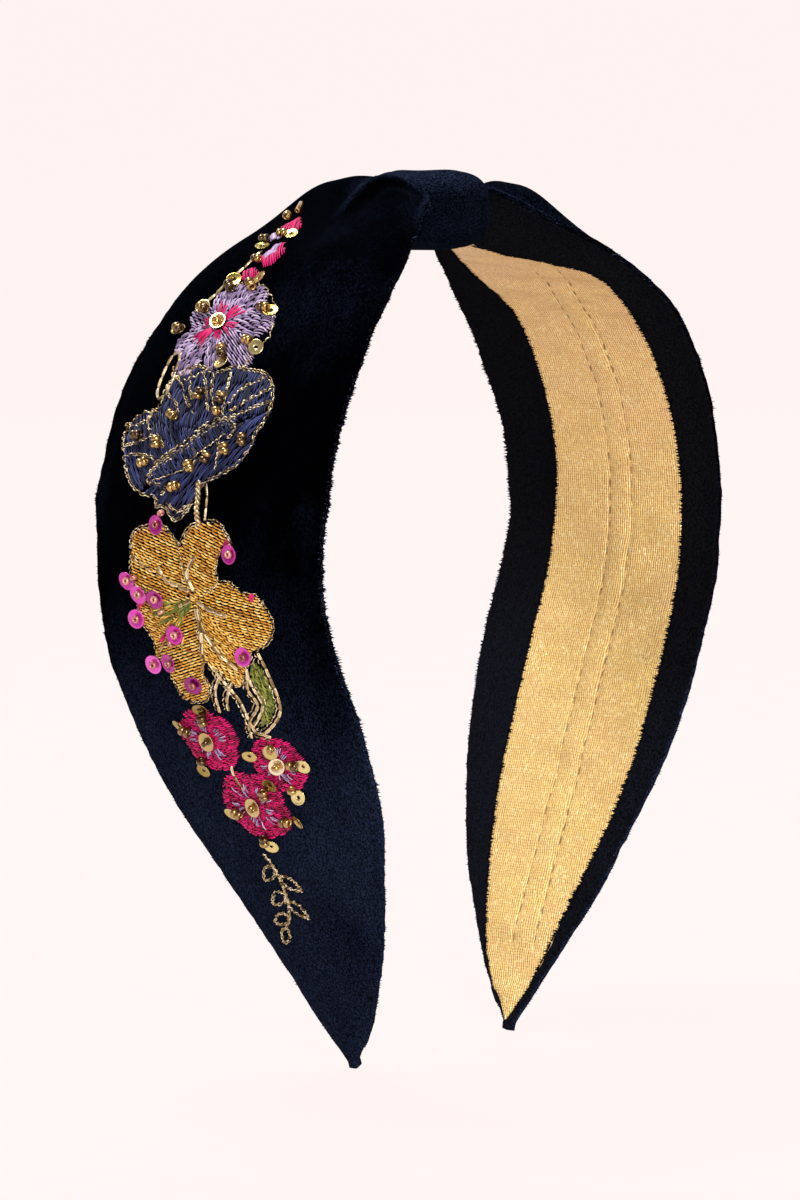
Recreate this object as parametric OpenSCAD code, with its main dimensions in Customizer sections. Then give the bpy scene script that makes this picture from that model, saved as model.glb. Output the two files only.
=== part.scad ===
// Knotted velvet headband with an embroidered and beaded left arm.
// Millimetres, +Z up. X runs from ear to ear and -Y is the front.
// The origin is the underside of the knot, where it rests on the crown of the head.

/* [Arch] */
// Radius of the arch over the crown
crown_r = 66; // [60:1:72]
// Angle at which the crown arc hands over to the temple arc
crown_angle = 34; // [26:1:40]
// Radius of the arch round the temples
temple_r = 48; // [44:1:54]
// Angle at which the temple arc hands over to the straight leg
temple_angle = 115; // [108:1:118]
// Length of one arm along the arch, from the middle of the knot to the tip
arm_len = 185; // [176:1:190]
// Height of the arch line above the underside of the knot
arch_lift = 5.6; // [5:0.1:6.2]

/* [Cover] */
// Full width of the velvet cover at its widest
band_w = 46.8; // [42:0.2:50]
// Half width of the gathered cover where it enters the knot
gather_half = 6.5; // [6:0.1:8]
// Height by which the middle of the cover bulges above its edges
crown_bulge = 2; // [1.5:0.1:2.6]
// Height of the puffed shoulder beside the knot
shoulder_rise = 5.5; // [4:0.1:6]
// Extra fullness of the gathered cover beside the knot
gather_puff = 3; // [1:0.5:3]
// Thickness of the velvet
velvet_t = 0.9; // [0.7:0.1:1]
// Distance by which the cover sits behind the spring at mid length
cover_back = 1.7; // [0:0.1:2]

/* [Lining and spring] */
// Half width of the lining at its widest
lining_half = 13.6; // [12:0.1:14.4]
// Thickness of the lining
lining_t = 0.5; // [0.3:0.1:0.6]
// Width of the spring strip
spring_w = 4; // [3:0.5:4.5]
// Thickness of the spring strip
spring_t = 0.8; // [0.5:0.1:0.9]
// Length along the arch at which the spring strip ends
spring_end = 166; // [150:1:168]

/* [Knot] */
// Length of the wrap along the arch
wrap_len = 16; // [14:0.5:16]
// Depth of the wrap from front to back
wrap_depth = 17; // [15:0.5:19]
// Height of the wrap
wrap_h = 13.4; // [12.6:0.1:14]
// Thickness of the wrap
wrap_t = 1.2; // [0.9:0.1:1.4]

/* [Trim] */
// Diameter of a flat sequin
sequin_d = 2.6; // [2:0.1:3]
// Diameter of a cupped sequin
cup_d = 3.4; // [3:0.1:4]
// Diameter of a seed bead
bead_d = 1.5; // [1.2:0.1:1.8]
// Thickness of the embroidery
stitch_t = 0.6; // [0.4:0.1:0.7]
// Diameter of the gold cord
cord_d = 0.5; // [0.4:0.05:0.6]

/* [Hidden] */

navy = "#10142c";
gold_cloth = "#d9ab5a";
antique_gold = "#b98f4a";

rad = 180 / PI;
crown_len = crown_r * crown_angle / rad;
temple_len = temple_r * (temple_angle - crown_angle) / rad;
knot_end = 9.3;         // where an arm starts, just outside the wrap
cover_half = band_w / 2;
neck_end = 72;          // where the cover reaches its full width
taper_start = 118;      // where the cover starts to narrow to the tip
spring_y = -1.2;        // plane of the spring, a little in front of the middle
gap = 0.15;             // clearance between layers
edge_top = 0.7;         // top of the folded edge above the arch line
edge_bottom = -0.9;     // underside of the folded edge
lining_top = -1.85;     // upper face of the lining at its edges
casing_rise = 0.25;     // how far the lining stands proud over the spring
rings = 36;             // cross-sections along an arm
across = 8;             // facets across the cover

// --- The arch line -------------------------------------------------------------------
function arch_angle(s) =
    s < crown_len ? s / crown_r * rad :
    s < crown_len + temple_len ? crown_angle + (s - crown_len) / temple_r * rad : temple_angle;
function leg(s) = max(0, s - crown_len - temple_len);
function arch_x(s) = let (a = arch_angle(s), c = min(a, crown_angle))
    crown_r * sin(c) + temple_r * (sin(a) - sin(c)) + leg(s) * cos(temple_angle);
function arch_z(s) = let (a = arch_angle(s), c = min(a, crown_angle))
    arch_lift - crown_r * (1 - cos(c)) - temple_r * (cos(c) - cos(a)) - leg(s) * sin(temple_angle);

// A point of the left arm: s along the arch, w towards the back, n away from the head
function cover_y(s) = cover_back * sin(180 * s / arm_len);
function at(s, w, n) = let (a = arch_angle(s))
    [-(arch_x(s) + n * sin(a)), w + cover_y(s), arch_z(s) + n * cos(a)];

// --- The cover's cross-section -------------------------------------------------------
function neck(s) = 1 - max(0, 1 - (s - 8) / (neck_end - 8)) ^ 2.7;
function taper(s) = 1 - max(0, (s - taper_start) / (arm_len - taper_start)) ^ 1.7;
function half_w(s) = max(0.8, s < neck_end
    ? gather_half + (cover_half - gather_half) * neck(s)
    : cover_half * taper(s));
function rise(s) = shoulder_rise * exp(-(s - 9) / 14);
function puff(s) = gather_puff * exp(-((s - 17) / 8) ^ 2);
function bulge(s) = crown_bulge * half_w(s) / cover_half + puff(s);
function sink(s) = 1.6 * exp(-(s - 9) / 10);
function top_n(s, w) = let (u = w / half_w(s)) edge_top + rise(s) + bulge(s) * (1 - u * u);
function lining_w(s) = min(lining_half, 0.68 * half_w(s));
function lining_mid(s) = (spring_y - cover_y(s)) * half_w(s) / cover_half;
function hem_end(s, side) = lining_mid(s) + side * lining_w(s);
function fold_w(s) = half_w(s) - min(1.2, 0.3 * half_w(s));
function fold_n(s) = rise(s) - 0.1;
// Inner face of the turned hem, between its end and the fold
function hem_n(s, w) = let (side = sign(w), e = hem_end(s, side), f = side * fold_w(s),
    t = min(1, max(0, (w - e) / (f - e)))) -0.9 - sink(s) + t * (fold_n(s) + 0.9 + sink(s));

function cover_section(s) = let (h = half_w(s), f = fold_w(s)) concat(
    [for (i = [0:across]) let (w = h * (2 * i / across - 1)) [w, top_n(s, w)]],
    [[h, rise(s) + edge_bottom], [hem_end(s, 1), -1.7 - sink(s)], [hem_end(s, 1), -0.9 - sink(s)],
     [f, fold_n(s)]],
    [for (i = [across - 1:-1:1]) let (w = f * (2 * i / across - 1)) [w, top_n(s, w) - velvet_t]],
    [[-f, fold_n(s)], [hem_end(s, -1), -0.9 - sink(s)], [hem_end(s, -1), -1.7 - sink(s)],
     [-h, rise(s) + edge_bottom]]);

function pad_section(s) = let (h = 0.84 * half_w(s)) concat(
    [for (i = [0:across]) let (w = h * (2 * i / across - 1)) [w, top_n(s, w) - velvet_t - gap]],
    [for (i = [across:-1:0]) let (w = h * (2 * i / across - 1))
        [w, min(top_n(s, w) - velvet_t - gap - 0.1, max(-0.6, hem_n(s, w) + gap))]]);

// Upper face of the lining, which stands a little proud over the spring
function lining_reach(s) = lining_w(s) + min(0.8, 0.1 * half_w(s));
function lining_n(s, w) = let (u = (w - lining_mid(s)) / lining_reach(s))
    lining_top - sink(s) - casing_rise * (1 - u * u);
function lining_section(s) = let (face = [for (i = [-2:2])
        let (w = lining_mid(s) + lining_reach(s) * i / 2) [w, lining_n(s, w)]])
    concat(face, [for (i = [4:-1:0]) face[i] - [0, lining_t]]);

// --- Lofts and tubes -----------------------------------------------------------------
// Closed solid through cross-sections that all have the same number of points
module loft(sections) {
    k = len(sections[0]);
    m = len(sections);
    points = [for (ring = sections) for (p = ring) p];
    sides = [for (i = [0:m - 2]) for (j = [0:k - 1]) let (a = i * k + j, b = i * k + (j + 1) % k)
        each [[a, b, b + k], [a, b + k, a + k]]];
    polyhedron(points, concat(sides, [[for (j = [k - 1:-1:0]) j]],
        [[for (j = [0:k - 1]) (m - 1) * k + j]]), convexity = 8);
}

module arm_loft(kind, from, to, count) {
    loft([for (i = [0:count]) let (s = from + (to - from) * i / count)
        [for (p = kind == "cover" ? cover_section(s) : kind == "pad" ? pad_section(s)
            : lining_section(s)) at(s, p[0], p[1])]]);
}

// Point of the velvet's outer face, raised by h
function on_velvet(s, w, h) = at(s, w, top_n(s, w) + h);

// A cord of six sides that lies on the velvet and passes through the points of path
module cord(path, h, d = cord_d) {
    sides = 6;
    m = len(path);
    loft([for (i = [0:m - 1]) let (p = path[i], a = path[max(0, i - 1)], b = path[min(m - 1, i + 1)],
        t = (b - a) / norm(b - a))
        [for (j = [0:sides - 1]) let (v = 360 * j / sides)
            on_velvet(p[0] - t[1] * d / 2 * cos(v), p[1] + t[0] * d / 2 * cos(v),
                h + d / 2 * sin(v))]]);
}

// A flat raised pad of satin stitch with the given outline round its middle
module satin(middle, outline, h = gap, t = stitch_t) {
    k = len(outline);
    rounds = 3;
    function ring(f, n) = [for (p = outline) let (q = middle + (p - middle) * f)
        on_velvet(q[0], q[1], n)];
    function layer(n) = concat([on_velvet(middle[0], middle[1], n)],
        [for (r = [1:rounds]) each ring(r / rounds, n)]);
    size = 1 + rounds * k;
    function fan(o) = [for (j = [0:k - 1]) [o, o + 1 + j, o + 1 + (j + 1) % k]];
    function band(o) = [for (r = [0:rounds - 2]) for (j = [0:k - 1])
        let (a = o + 1 + r * k + j, b = o + 1 + r * k + (j + 1) % k)
        each [[a, a + k, b + k], [a, b + k, b]]];
    rim = 1 + (rounds - 1) * k;
    lower = concat(fan(0), band(0));
    upper = [for (f = concat(fan(size), band(size))) [f[2], f[1], f[0]]];
    wall = [for (j = [0:k - 1]) let (a = rim + j, b = rim + (j + 1) % k)
        each [[a, a + size, b + size], [a, b + size, b]]];
    polyhedron(concat(layer(h), layer(h + t)), concat(lower, upper, wall), convexity = 6);
}

// Outline of a flower with rounded petals
function petals(middle, r_in, r_out, count, turn = 0, steps = 40) = [for (i = [0:steps - 1])
    let (v = 360 * i / steps, r = r_in + (r_out - r_in) * sqrt(abs(cos(count * (v - turn) / 2))))
    middle + r * [cos(v), sin(v)]];
// Outline of an oval that leans by turn
function oval(middle, a, b, turn = 0, steps = 20) = [for (i = [0:steps - 1])
    let (v = 360 * i / steps) middle + a * cos(v) * [cos(turn), sin(turn)]
        + b * sin(v) * [-sin(turn), cos(turn)]];
// Points of an arc, for a curled cord
function curl(middle, r, from, to, steps) = [for (i = [0:steps])
    let (v = from + (to - from) * i / steps) middle + r * [cos(v), sin(v)]];

// Stands its children on the velvet at s, w, square to the surface
module stand(s, w, h) {
    tilt = atan(2 * bulge(s) * w / half_w(s) ^ 2);
    slope = atan(rise(s) / 14);
    translate(on_velvet(s, w, h)) rotate([0, -arch_angle(s) - slope, 0]) rotate([-tilt, 0, 0])
        children();
}

module sequin(d) {
    difference() {
        cylinder(h = 0.15, d = d, $fn = 32);
        translate([0, 0, -1]) cylinder(h = 2, d = 0.6, $fn = 24);
    }
}

module bead() {
    translate([0, 0, bead_d * 0.3]) rotate_extrude($fn = 32)
        translate([bead_d * 0.3, 0]) circle(d = bead_d * 0.4, $fn = 24);
}

// --- Knot ------------------------------------------------------------------------------
knot_mid = wrap_h / 2;

module rounded(w, h, r) {
    hull() for (x = [-1, 1], y = [-1, 1]) translate([x * (w / 2 - r), y * (h / 2 - r)])
        circle(r = r, $fn = 32);
}

module along_x(len) {
    rotate([90, 0, 90]) translate([0, 0, -len / 2]) linear_extrude(len) children();
}

module knot_wrap() {
    color(navy) translate([0, 0, knot_mid]) along_x(wrap_len) difference() {
        rounded(wrap_depth, wrap_h, 5);
        rounded(wrap_depth - 2 * wrap_t, wrap_h - 2 * wrap_t, 5 - wrap_t);
    }
}

module knot_gather() {
    slot_w = spring_w + 1;
    slot_h = spring_t + 1.6;
    color(navy) translate([0, 0, knot_mid]) along_x(wrap_len - 0.6) difference() {
        rounded(wrap_depth - 2 * wrap_t - 0.4, wrap_h - 2 * wrap_t - 0.4, 3.6);
        translate([spring_y - slot_w / 2, arch_lift - knot_mid - spring_t / 2 - 2.1])
            square([slot_w, slot_h]);
    }
}

// --- Spring ----------------------------------------------------------------------------
spring_n = -1.6;        // underside of the strip, measured from the arch line

// Sector of a ring about the origin, from one angle to another, both from straight up
module ring_sector(r, t, from, to) {
    reach = 2 * r;
    intersection() {
        difference() {
            circle(r = r + t, $fn = 180);
            circle(r = r, $fn = 180);
        }
        polygon([[0, 0], [reach * sin(from), reach * cos(from)],
            [reach * sin((from + to) / 2), reach * cos((from + to) / 2)],
            [reach * sin(to), reach * cos(to)]]);
    }
}

module half_strip(n, t, end) {
    over = 0.3;
    translate([0, arch_lift - crown_r]) ring_sector(crown_r + n, t, -2, crown_angle + over);
    translate([(crown_r - temple_r) * sin(crown_angle),
        arch_lift - crown_r + (crown_r - temple_r) * cos(crown_angle)])
        ring_sector(temple_r + n, t, crown_angle, temple_angle + over);
    start = crown_len + temple_len;
    translate([arch_x(start), arch_z(start)]) rotate(-temple_angle)
        translate([0, n]) square([end - start, t]);
}

module spring_strip() {
    color("silver") translate([0, spring_y + spring_w / 2, 0]) rotate([90, 0, 0])
        linear_extrude(spring_w) {
            half_strip(spring_n, spring_t, spring_end);
            mirror([1, 0]) half_strip(spring_n, spring_t, spring_end);
        }
}

// Dipped end that keeps the strip from cutting through the lining
module left_spring_cap() {
    wall = 0.15;
    length = 5;
    color("dimgray") translate(at(spring_end + 0.2, 0, 0)) rotate([0, -temple_angle, 0])
        translate([-length, spring_y - cover_y(spring_end) - spring_w / 2, spring_n - wall])
        cube([length, spring_w, spring_t + 2 * wall]);
}
module right_spring_cap() { mirror([1, 0, 0]) left_spring_cap(); }

// --- Arms ------------------------------------------------------------------------------
module left_velvet() { color(navy) arm_loft("cover", knot_end, arm_len, rings); }
module right_velvet() { mirror([1, 0, 0]) left_velvet(); }
module left_interlining() { color("dimgray") arm_loft("pad", knot_end + 0.3, 172, rings - 2); }
module right_interlining() { mirror([1, 0, 0]) left_interlining(); }
module left_lining() { color(gold_cloth) arm_loft("lining", knot_end, 183, rings); }
module right_lining() { mirror([1, 0, 0]) left_lining(); }

// Two rows of thread, one along each side of the spring, on the lining's face
module left_casing_stitches() {
    thread = 0.3;
    from = 14;
    to = 170;
    count = 34;
    color("goldenrod") for (side = [-1, 1])
        loft([for (i = [0:count]) let (s = from + (to - from) * i / count,
            w = spring_y - cover_y(s) + side * (spring_w / 2 + 0.4),
            n = lining_n(s, w) - lining_t - 0.1 - thread / 2)
            [for (j = [0:3]) at(s, w + thread / 2 * cos(90 * j), n + thread / 2 * sin(90 * j))]]);
}
module right_casing_stitches() { mirror([1, 0, 0]) left_casing_stitches(); }

// --- Embroidery on the left arm ----------------------------------------------------------
over_stitch = gap + stitch_t + 0.1;      // height of what lies on the satin stitch
over_cord = over_stitch + 0.3;           // height of the sequins that lie on the flowers

buds = [[25.5, 8.2, 2.2], [31, 7.2, 1.9], [37.5, 6, 2]];
lilac = [50.5, 5.5];
bloom = [69, 4];
lily_heart = [95, 2];
flowers = [[119.8, 6.4, 6], [122.8, -7.1, 4.8], [131.2, 1, 6.4]];

module bud_trail() {
    color("#d6006e") for (b = buds) satin([b[0], b[1]], oval([b[0], b[1]], b[2] * 1.2, b[2], 20, 12));
}
module bud_trail_stem() {
    color(antique_gold) cord([[36.5, 9.6], [39, 9.4], [41.5, 10.6], [43.5, 13], [45.5, 13.8]], 0.4);
}
module lilac_flower() {
    color("#beaad0") satin(lilac, petals(lilac, 6.5, 10, 8));
}
module lilac_flower_heart() {
    color("#d6006e") satin(lilac, petals(lilac, 2, 4.2, 8, 22.5, 32), over_stitch, 0.3);
}
module leaf_loop() {
    color(antique_gold) cord([[53, 17], [56, 17.2], [59.5, 18.8], [61.5, 20.6], [63.5, 19.6], [62.5, 17.5],
        [59, 15.8]], 0.4);
}

bloom_outline = [[66, 18.5], [63, 16.5], [63, 11.5], [61, 8], [61.5, 3.5], [60, -2.5], [60.5, -9], [64, -11],
    [69.5, -11], [73.5, -7.5], [75.5, -4.5], [78, -1], [80, 1], [82, 4], [80.5, 8], [77, 11.5], [74, 16],
    [70, 18]];
module navy_bloom() { color("#2c3270") satin(bloom, bloom_outline); }
module navy_bloom_band() {
    middle = [72.5, 1];
    color("#2c3270") satin(middle, oval(middle, 8, 2.6, -120), over_stitch, 0.4);
}
module bloom_stem() {
    color(antique_gold) cord([[78.6, -2.6], [81, -2.4], [83, -1.4]], 0.45);
}

lily_outline = [[84, 11], [87, 8.5], [86.5, 5.5], [84.5, 3], [84.5, -1], [85.5, -5], [88.5, -6.5],
    [91.5, -8.5], [94, -13], [98, -14], [102, -12.4], [103, -8.5], [108.5, -6], [108.5, -2], [106, 0.5],
    [110.5, 4.5], [107.5, 7], [103.5, 9], [101.5, 12.6], [95, 14.8], [89, 13.9]];
module lily() { color("#e6a02e") satin(lily_heart, lily_outline); }
module lily_throat() {
    middle = [97.5, 6];
    color("#6e7814") satin(middle, oval(middle, 3.4, 1.2, 60, 12), over_stitch, 0.3);
}
module lily_veins() {
    color(antique_gold) for (tip = [[89, 8], [87.5, 0.5], [96.5, -7], [104.5, -4.5], [105, 4]])
        cord([lily_heart + (tip - lily_heart) * 0.3, lily_heart + (tip - lily_heart) * 0.65, tip],
            over_stitch + cord_d / 2);
}

leaf_mid = [111.5, -9.2];
module green_leaf() { color("#6e7814") satin(leaf_mid, oval(leaf_mid, 5.5, 1.7, 12, 16)); }
module leaf_cord() {
    color(antique_gold) cord([[109.5, -2], [112, -3.6], [115, -5.4], [117.6, -5.6]], 0.45);
}

module magenta_flowers() {
    color("#d6006e") for (f = flowers)
        satin([f[0], f[1]], petals([f[0], f[1]], f[2] * 0.55, f[2], 5, f[0]));
}
module magenta_flower_hearts() {
    color("#beaad0") for (f = flowers)
        satin([f[0], f[1]], petals([f[0], f[1]], f[2] * 0.25, f[2] * 0.5, 5, f[0], 20), over_stitch, 0.3);
}

// A small sprig of three curled tendrils
module gold_sprig() {
    color(antique_gold) {
        cord([[141.5, 2.5], [145, 1.5], [149, 1.8], [153, 3.4], [156.5, 4.6]], 0.45);
        cord(curl([145, -1.6], 2.4, 60, -170, 7), 0.45);
        cord(curl([150.5, 6], 2.2, -60, 150, 6), 0.45);
    }
}

// Places on the flowers that hold a flat sequin with a bead over it
rim_spots = [[44, 8.4], [43.5, 2], [47.5, 11.4], [52, 13.4], [48, -2.6], [55, -2], [58.5, 4],
    [115.6, 6], [118, 10.4], [124, 8], [119.6, -6.6], [123, -11], [127, -8.2], [132.5, 5.4],
    [134, -3.6], [136, 0.4]];
flower_hearts = concat([lilac], [for (f = flowers) [f[0], f[1]]]);

module gold_sequins() {
    plain = [[123, -3], [128.4, -3], [67, 10], [71, -6]];
    on_cloth = [[28.4, 4.4], [33.8, 10.6]];
    color("#dcbe64") {
        for (p = concat(rim_spots, plain)) stand(p[0], p[1], over_cord + 0.3) sequin(sequin_d);
        for (p = on_cloth) stand(p[0], p[1], 0.3) sequin(sequin_d);
    }
}
module cup_sequins() {
    color("#e6d28c") for (p = flower_hearts) stand(p[0], p[1], over_cord + 0.2) sequin(cup_d);
}

pink_spots = [[86.2, 7.5], [88.5, -5], [92.4, 13.4], [96, 9], [98.4, 12.4], [101, 5.8], [104.6, 8],
    [106, 4], [103, -6.8]];
module pink_sequins() {
    color("#dc28aa") for (p = pink_spots) stand(p[0], p[1], over_cord + 0.3) sequin(cup_d);
}
module rose_seed_beads() {
    color("#a0324b") for (p = pink_spots) stand(p[0], p[1], over_cord + 0.6) bead();
}

module gold_seed_beads() {
    on_bloom = [[70, 14.4], [70.2, 9.5], [66.5, 7.4], [64, 2.9], [63.2, -1.6], [66, -2.5], [69.8, -8],
        [73.8, 12], [77.2, 4.8], [76.8, 8]];
    on_cloth = [[22.6, 11], [28.4, 10.6], [28.4, 4.4], [33.8, 10.6], [33.6, 3.6], [40.6, 4.4]];
    color("#965f1e") {
        for (p = concat(rim_spots, flower_hearts)) stand(p[0], p[1], over_cord + 0.6) bead();
        for (p = on_bloom) stand(p[0], p[1], over_cord + 0.3) bead();
        for (p = on_cloth) stand(p[0], p[1], 0.6) bead();
    }
}

module bugle_beads() {
    color("#c8963c") for (p = [[19.5, 12], [25.2, 3.6]]) stand(p[0], p[1], 0.9) rotate([0, 90, 0])
        difference() {
            cylinder(h = 3, d = 1, center = true, $fn = 24);
            cylinder(h = 4, d = 0.4, center = true, $fn = 24);
        }
}

spring_strip();
knot_wrap();
knot_gather();
left_velvet();
left_interlining();
left_lining();
left_casing_stitches();
left_spring_cap();
right_velvet();
right_interlining();
right_lining();
right_casing_stitches();
right_spring_cap();
bud_trail();
bud_trail_stem();
lilac_flower();
lilac_flower_heart();
leaf_loop();
navy_bloom();
navy_bloom_band();
bloom_stem();
lily();
lily_throat();
lily_veins();
green_leaf();
leaf_cord();
magenta_flowers();
magenta_flower_hearts();
gold_sprig();
gold_sequins();
cup_sequins();
pink_sequins();
gold_seed_beads();
rose_seed_beads();
bugle_beads();
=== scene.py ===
"""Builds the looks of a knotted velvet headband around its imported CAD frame.

Lengths are millimetres in arm coordinates: s runs along the arch from the knot, w across the
band towards the back, and n away from the head. place() turns them into points of the row
frame, in metres. side is -1 for the embroidered left arm and +1 for the right arm.
"""

import math
import random

import bpy
import numpy as np
from mathutils import Matrix, Vector


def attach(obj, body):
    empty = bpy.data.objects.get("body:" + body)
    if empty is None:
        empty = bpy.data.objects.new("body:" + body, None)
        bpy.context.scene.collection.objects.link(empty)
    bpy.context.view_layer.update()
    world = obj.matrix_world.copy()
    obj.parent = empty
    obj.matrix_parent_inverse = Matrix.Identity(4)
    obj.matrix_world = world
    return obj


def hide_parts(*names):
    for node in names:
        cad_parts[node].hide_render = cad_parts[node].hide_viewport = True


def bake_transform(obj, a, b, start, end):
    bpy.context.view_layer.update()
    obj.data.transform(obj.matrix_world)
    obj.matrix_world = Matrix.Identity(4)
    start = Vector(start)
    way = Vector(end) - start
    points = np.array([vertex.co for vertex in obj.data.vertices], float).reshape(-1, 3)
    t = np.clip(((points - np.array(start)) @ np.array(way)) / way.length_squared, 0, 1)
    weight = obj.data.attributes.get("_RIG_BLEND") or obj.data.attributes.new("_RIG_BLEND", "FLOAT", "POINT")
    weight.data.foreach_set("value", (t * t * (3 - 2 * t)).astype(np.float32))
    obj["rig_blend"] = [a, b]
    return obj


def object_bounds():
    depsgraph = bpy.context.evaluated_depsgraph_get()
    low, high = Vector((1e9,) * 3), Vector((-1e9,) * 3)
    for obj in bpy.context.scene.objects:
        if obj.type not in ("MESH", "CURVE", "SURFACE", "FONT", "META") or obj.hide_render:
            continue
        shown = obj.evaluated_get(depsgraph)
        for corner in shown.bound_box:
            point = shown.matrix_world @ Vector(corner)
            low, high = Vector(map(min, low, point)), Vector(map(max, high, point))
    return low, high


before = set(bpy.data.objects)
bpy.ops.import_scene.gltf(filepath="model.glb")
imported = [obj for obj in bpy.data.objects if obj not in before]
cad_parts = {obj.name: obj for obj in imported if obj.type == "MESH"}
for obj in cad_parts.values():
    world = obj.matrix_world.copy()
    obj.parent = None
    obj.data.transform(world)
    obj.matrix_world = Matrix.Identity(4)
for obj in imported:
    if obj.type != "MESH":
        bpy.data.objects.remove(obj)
cad_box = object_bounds()

MM = 0.001
TINY = 1e-9         # keeps a length of nothing from dividing by zero
TURN = 6.28         # a full turn for random angles
LEFT, RIGHT = -1, 1
ARMS = {LEFT: "left", RIGHT: "right"}

# --- The arch line and the cover's shape, as in the CAD ---------------------------------
CROWN_R, CROWN_TURN = 66.0, math.radians(34)
TEMPLE_R, TEMPLE_TURN = 48.0, math.radians(115)
CROWN_LEN = CROWN_R * CROWN_TURN
TEMPLE_LEN = TEMPLE_R * (TEMPLE_TURN - CROWN_TURN)
ARM_LEN = 185.0
ARCH_LIFT = 5.6
COVER_HALF, GATHER_HALF = 23.4, 6.5     # half the cover's width, full and in the knot
NECK_START, NECK_END = 8, 72            # where the cover widens out of the knot
TAPER_START, TIP_HALF = 118, 0.8        # where it starts to narrow, and what is left
COVER_BACK = 1.7                        # how far its middle leans to the back
KNOT_EDGE, KNOT_END = 9, 9.3
SHOULDER_RISE, SHOULDER_SINK = 5.5, 1.6
COVER_TOP = 0.7                         # the velvet's face above the arch line
VELVET_T, VELVET_T_TIP = 0.7, 0.25      # thinner where the arm ends in a point
WRAP_REACH = {LEFT: 9.8, RIGHT: 8.2}    # how far the wrap goes towards each arm
EDGE_R = 0.8
LINING_TOP = -1.85
LINING_T = 0.5


def arch(s):
    """x, z and slope of the arch line at each s."""
    s = np.asarray(s, float)
    slope = np.where(s < CROWN_LEN, s / CROWN_R,
                     np.minimum(CROWN_TURN + (s - CROWN_LEN) / TEMPLE_R, TEMPLE_TURN))
    crown = np.minimum(slope, CROWN_TURN)
    leg = np.maximum(0, s - CROWN_LEN - TEMPLE_LEN)
    x = (CROWN_R * np.sin(crown) + TEMPLE_R * (np.sin(slope) - np.sin(crown))
         + leg * math.cos(TEMPLE_TURN))
    z = (ARCH_LIFT - CROWN_R * (1 - np.cos(crown)) - TEMPLE_R * (np.cos(crown) - np.cos(slope))
         - leg * math.sin(TEMPLE_TURN))
    return x, z, slope


def cover_y(s):
    return COVER_BACK * np.sin(np.pi * np.clip(s, 0, ARM_LEN) / ARM_LEN)


def place(s, w, n, side):
    """Arm coordinates to points of the row frame, in metres."""
    s, w, n = np.broadcast_arrays(*(np.asarray(v, float) for v in (s, w, n)))
    x, z, slope = arch(s)
    return np.stack([side * (x + n * np.sin(slope)), w + cover_y(s),
                     z + n * np.cos(slope)], -1) * MM


def away(s, side):
    """The direction away from the head at each s."""
    slope = arch(s)[2]
    return np.stack([side * np.sin(slope), np.zeros_like(slope), np.cos(slope)], -1)


def half_w(s):
    """Half the cover's width, from the knot to the tip."""
    s = np.asarray(s, float)
    narrow = np.clip(1 - (s - NECK_START) / (NECK_END - NECK_START), 0, 1.1) ** 2.7
    neck = GATHER_HALF + (COVER_HALF - GATHER_HALF) * (1 - narrow)
    spent = np.clip((s - TAPER_START) / (ARM_LEN - TAPER_START), 0, 1) ** 1.7
    return np.maximum(TIP_HALF, np.where(s < NECK_END, neck, COVER_HALF * (1 - spent)))


def rise(s):
    """How far the cover's edges lift beside the knot."""
    return SHOULDER_RISE * np.exp(-np.maximum(s - KNOT_EDGE, -1) / 14)


def sink(s):
    """How far the underside drops beside the knot."""
    return SHOULDER_SINK * np.exp(-np.maximum(s - KNOT_EDGE, -1) / 10)


def bulge(s):
    return 2 * half_w(s) / COVER_HALF


PUFF_AT = ((9, 5.5), (17, 7), (26, 8), (37, 10), (50, 12), (66, 14))
PUFF = {LEFT: (0.3, 4.67, 1.65, 3.84, 1.24, 0.08), RIGHT: (-3.0, 4.15, 1.28, 0.24, 0.05, 0.0)}


def puff(s, side):
    """How far the gathers beside the knot lift the cloth."""
    return sum(high * np.exp(-((s - at) / wide) ** 2)
               for high, (at, wide) in zip(PUFF[side], PUFF_AT))


def slim(s):
    """How thick the folded edge and the lining are, thinning out towards the tip."""
    return np.clip(half_w(s) / 10, 0.3, 1)


def waves(seed, shortest, longest, count=9):
    """A smooth random height over one or two lengths, about 1 at its peaks."""
    rng = random.Random(seed)
    terms = []
    for _ in range(count):
        k, turn = 2 * math.pi / rng.uniform(shortest, longest), rng.uniform(-0.9, 0.9)
        terms.append((k * math.cos(turn), k * math.sin(turn), rng.uniform(0, 2 * math.pi)))

    def height(x, y=0.0):
        return sum(np.sin(a * x + b * y + c) for a, b, c in terms) / math.sqrt(2 * count)
    return height


edge_wave = {(side, end): waves(f"edge{side}{end}", 7, 30) for side in ARMS for end in (-1, 1)}
fine_wave = {(side, end): waves(f"fine{side}{end}", 1.6, 5) for side in ARMS for end in (-1, 1)}
cloth_wave = {side: waves(f"cloth{side}", 9, 26) for side in ARMS}
lining_wave = {side: waves(f"lining{side}", 5, 16) for side in ARMS}


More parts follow.
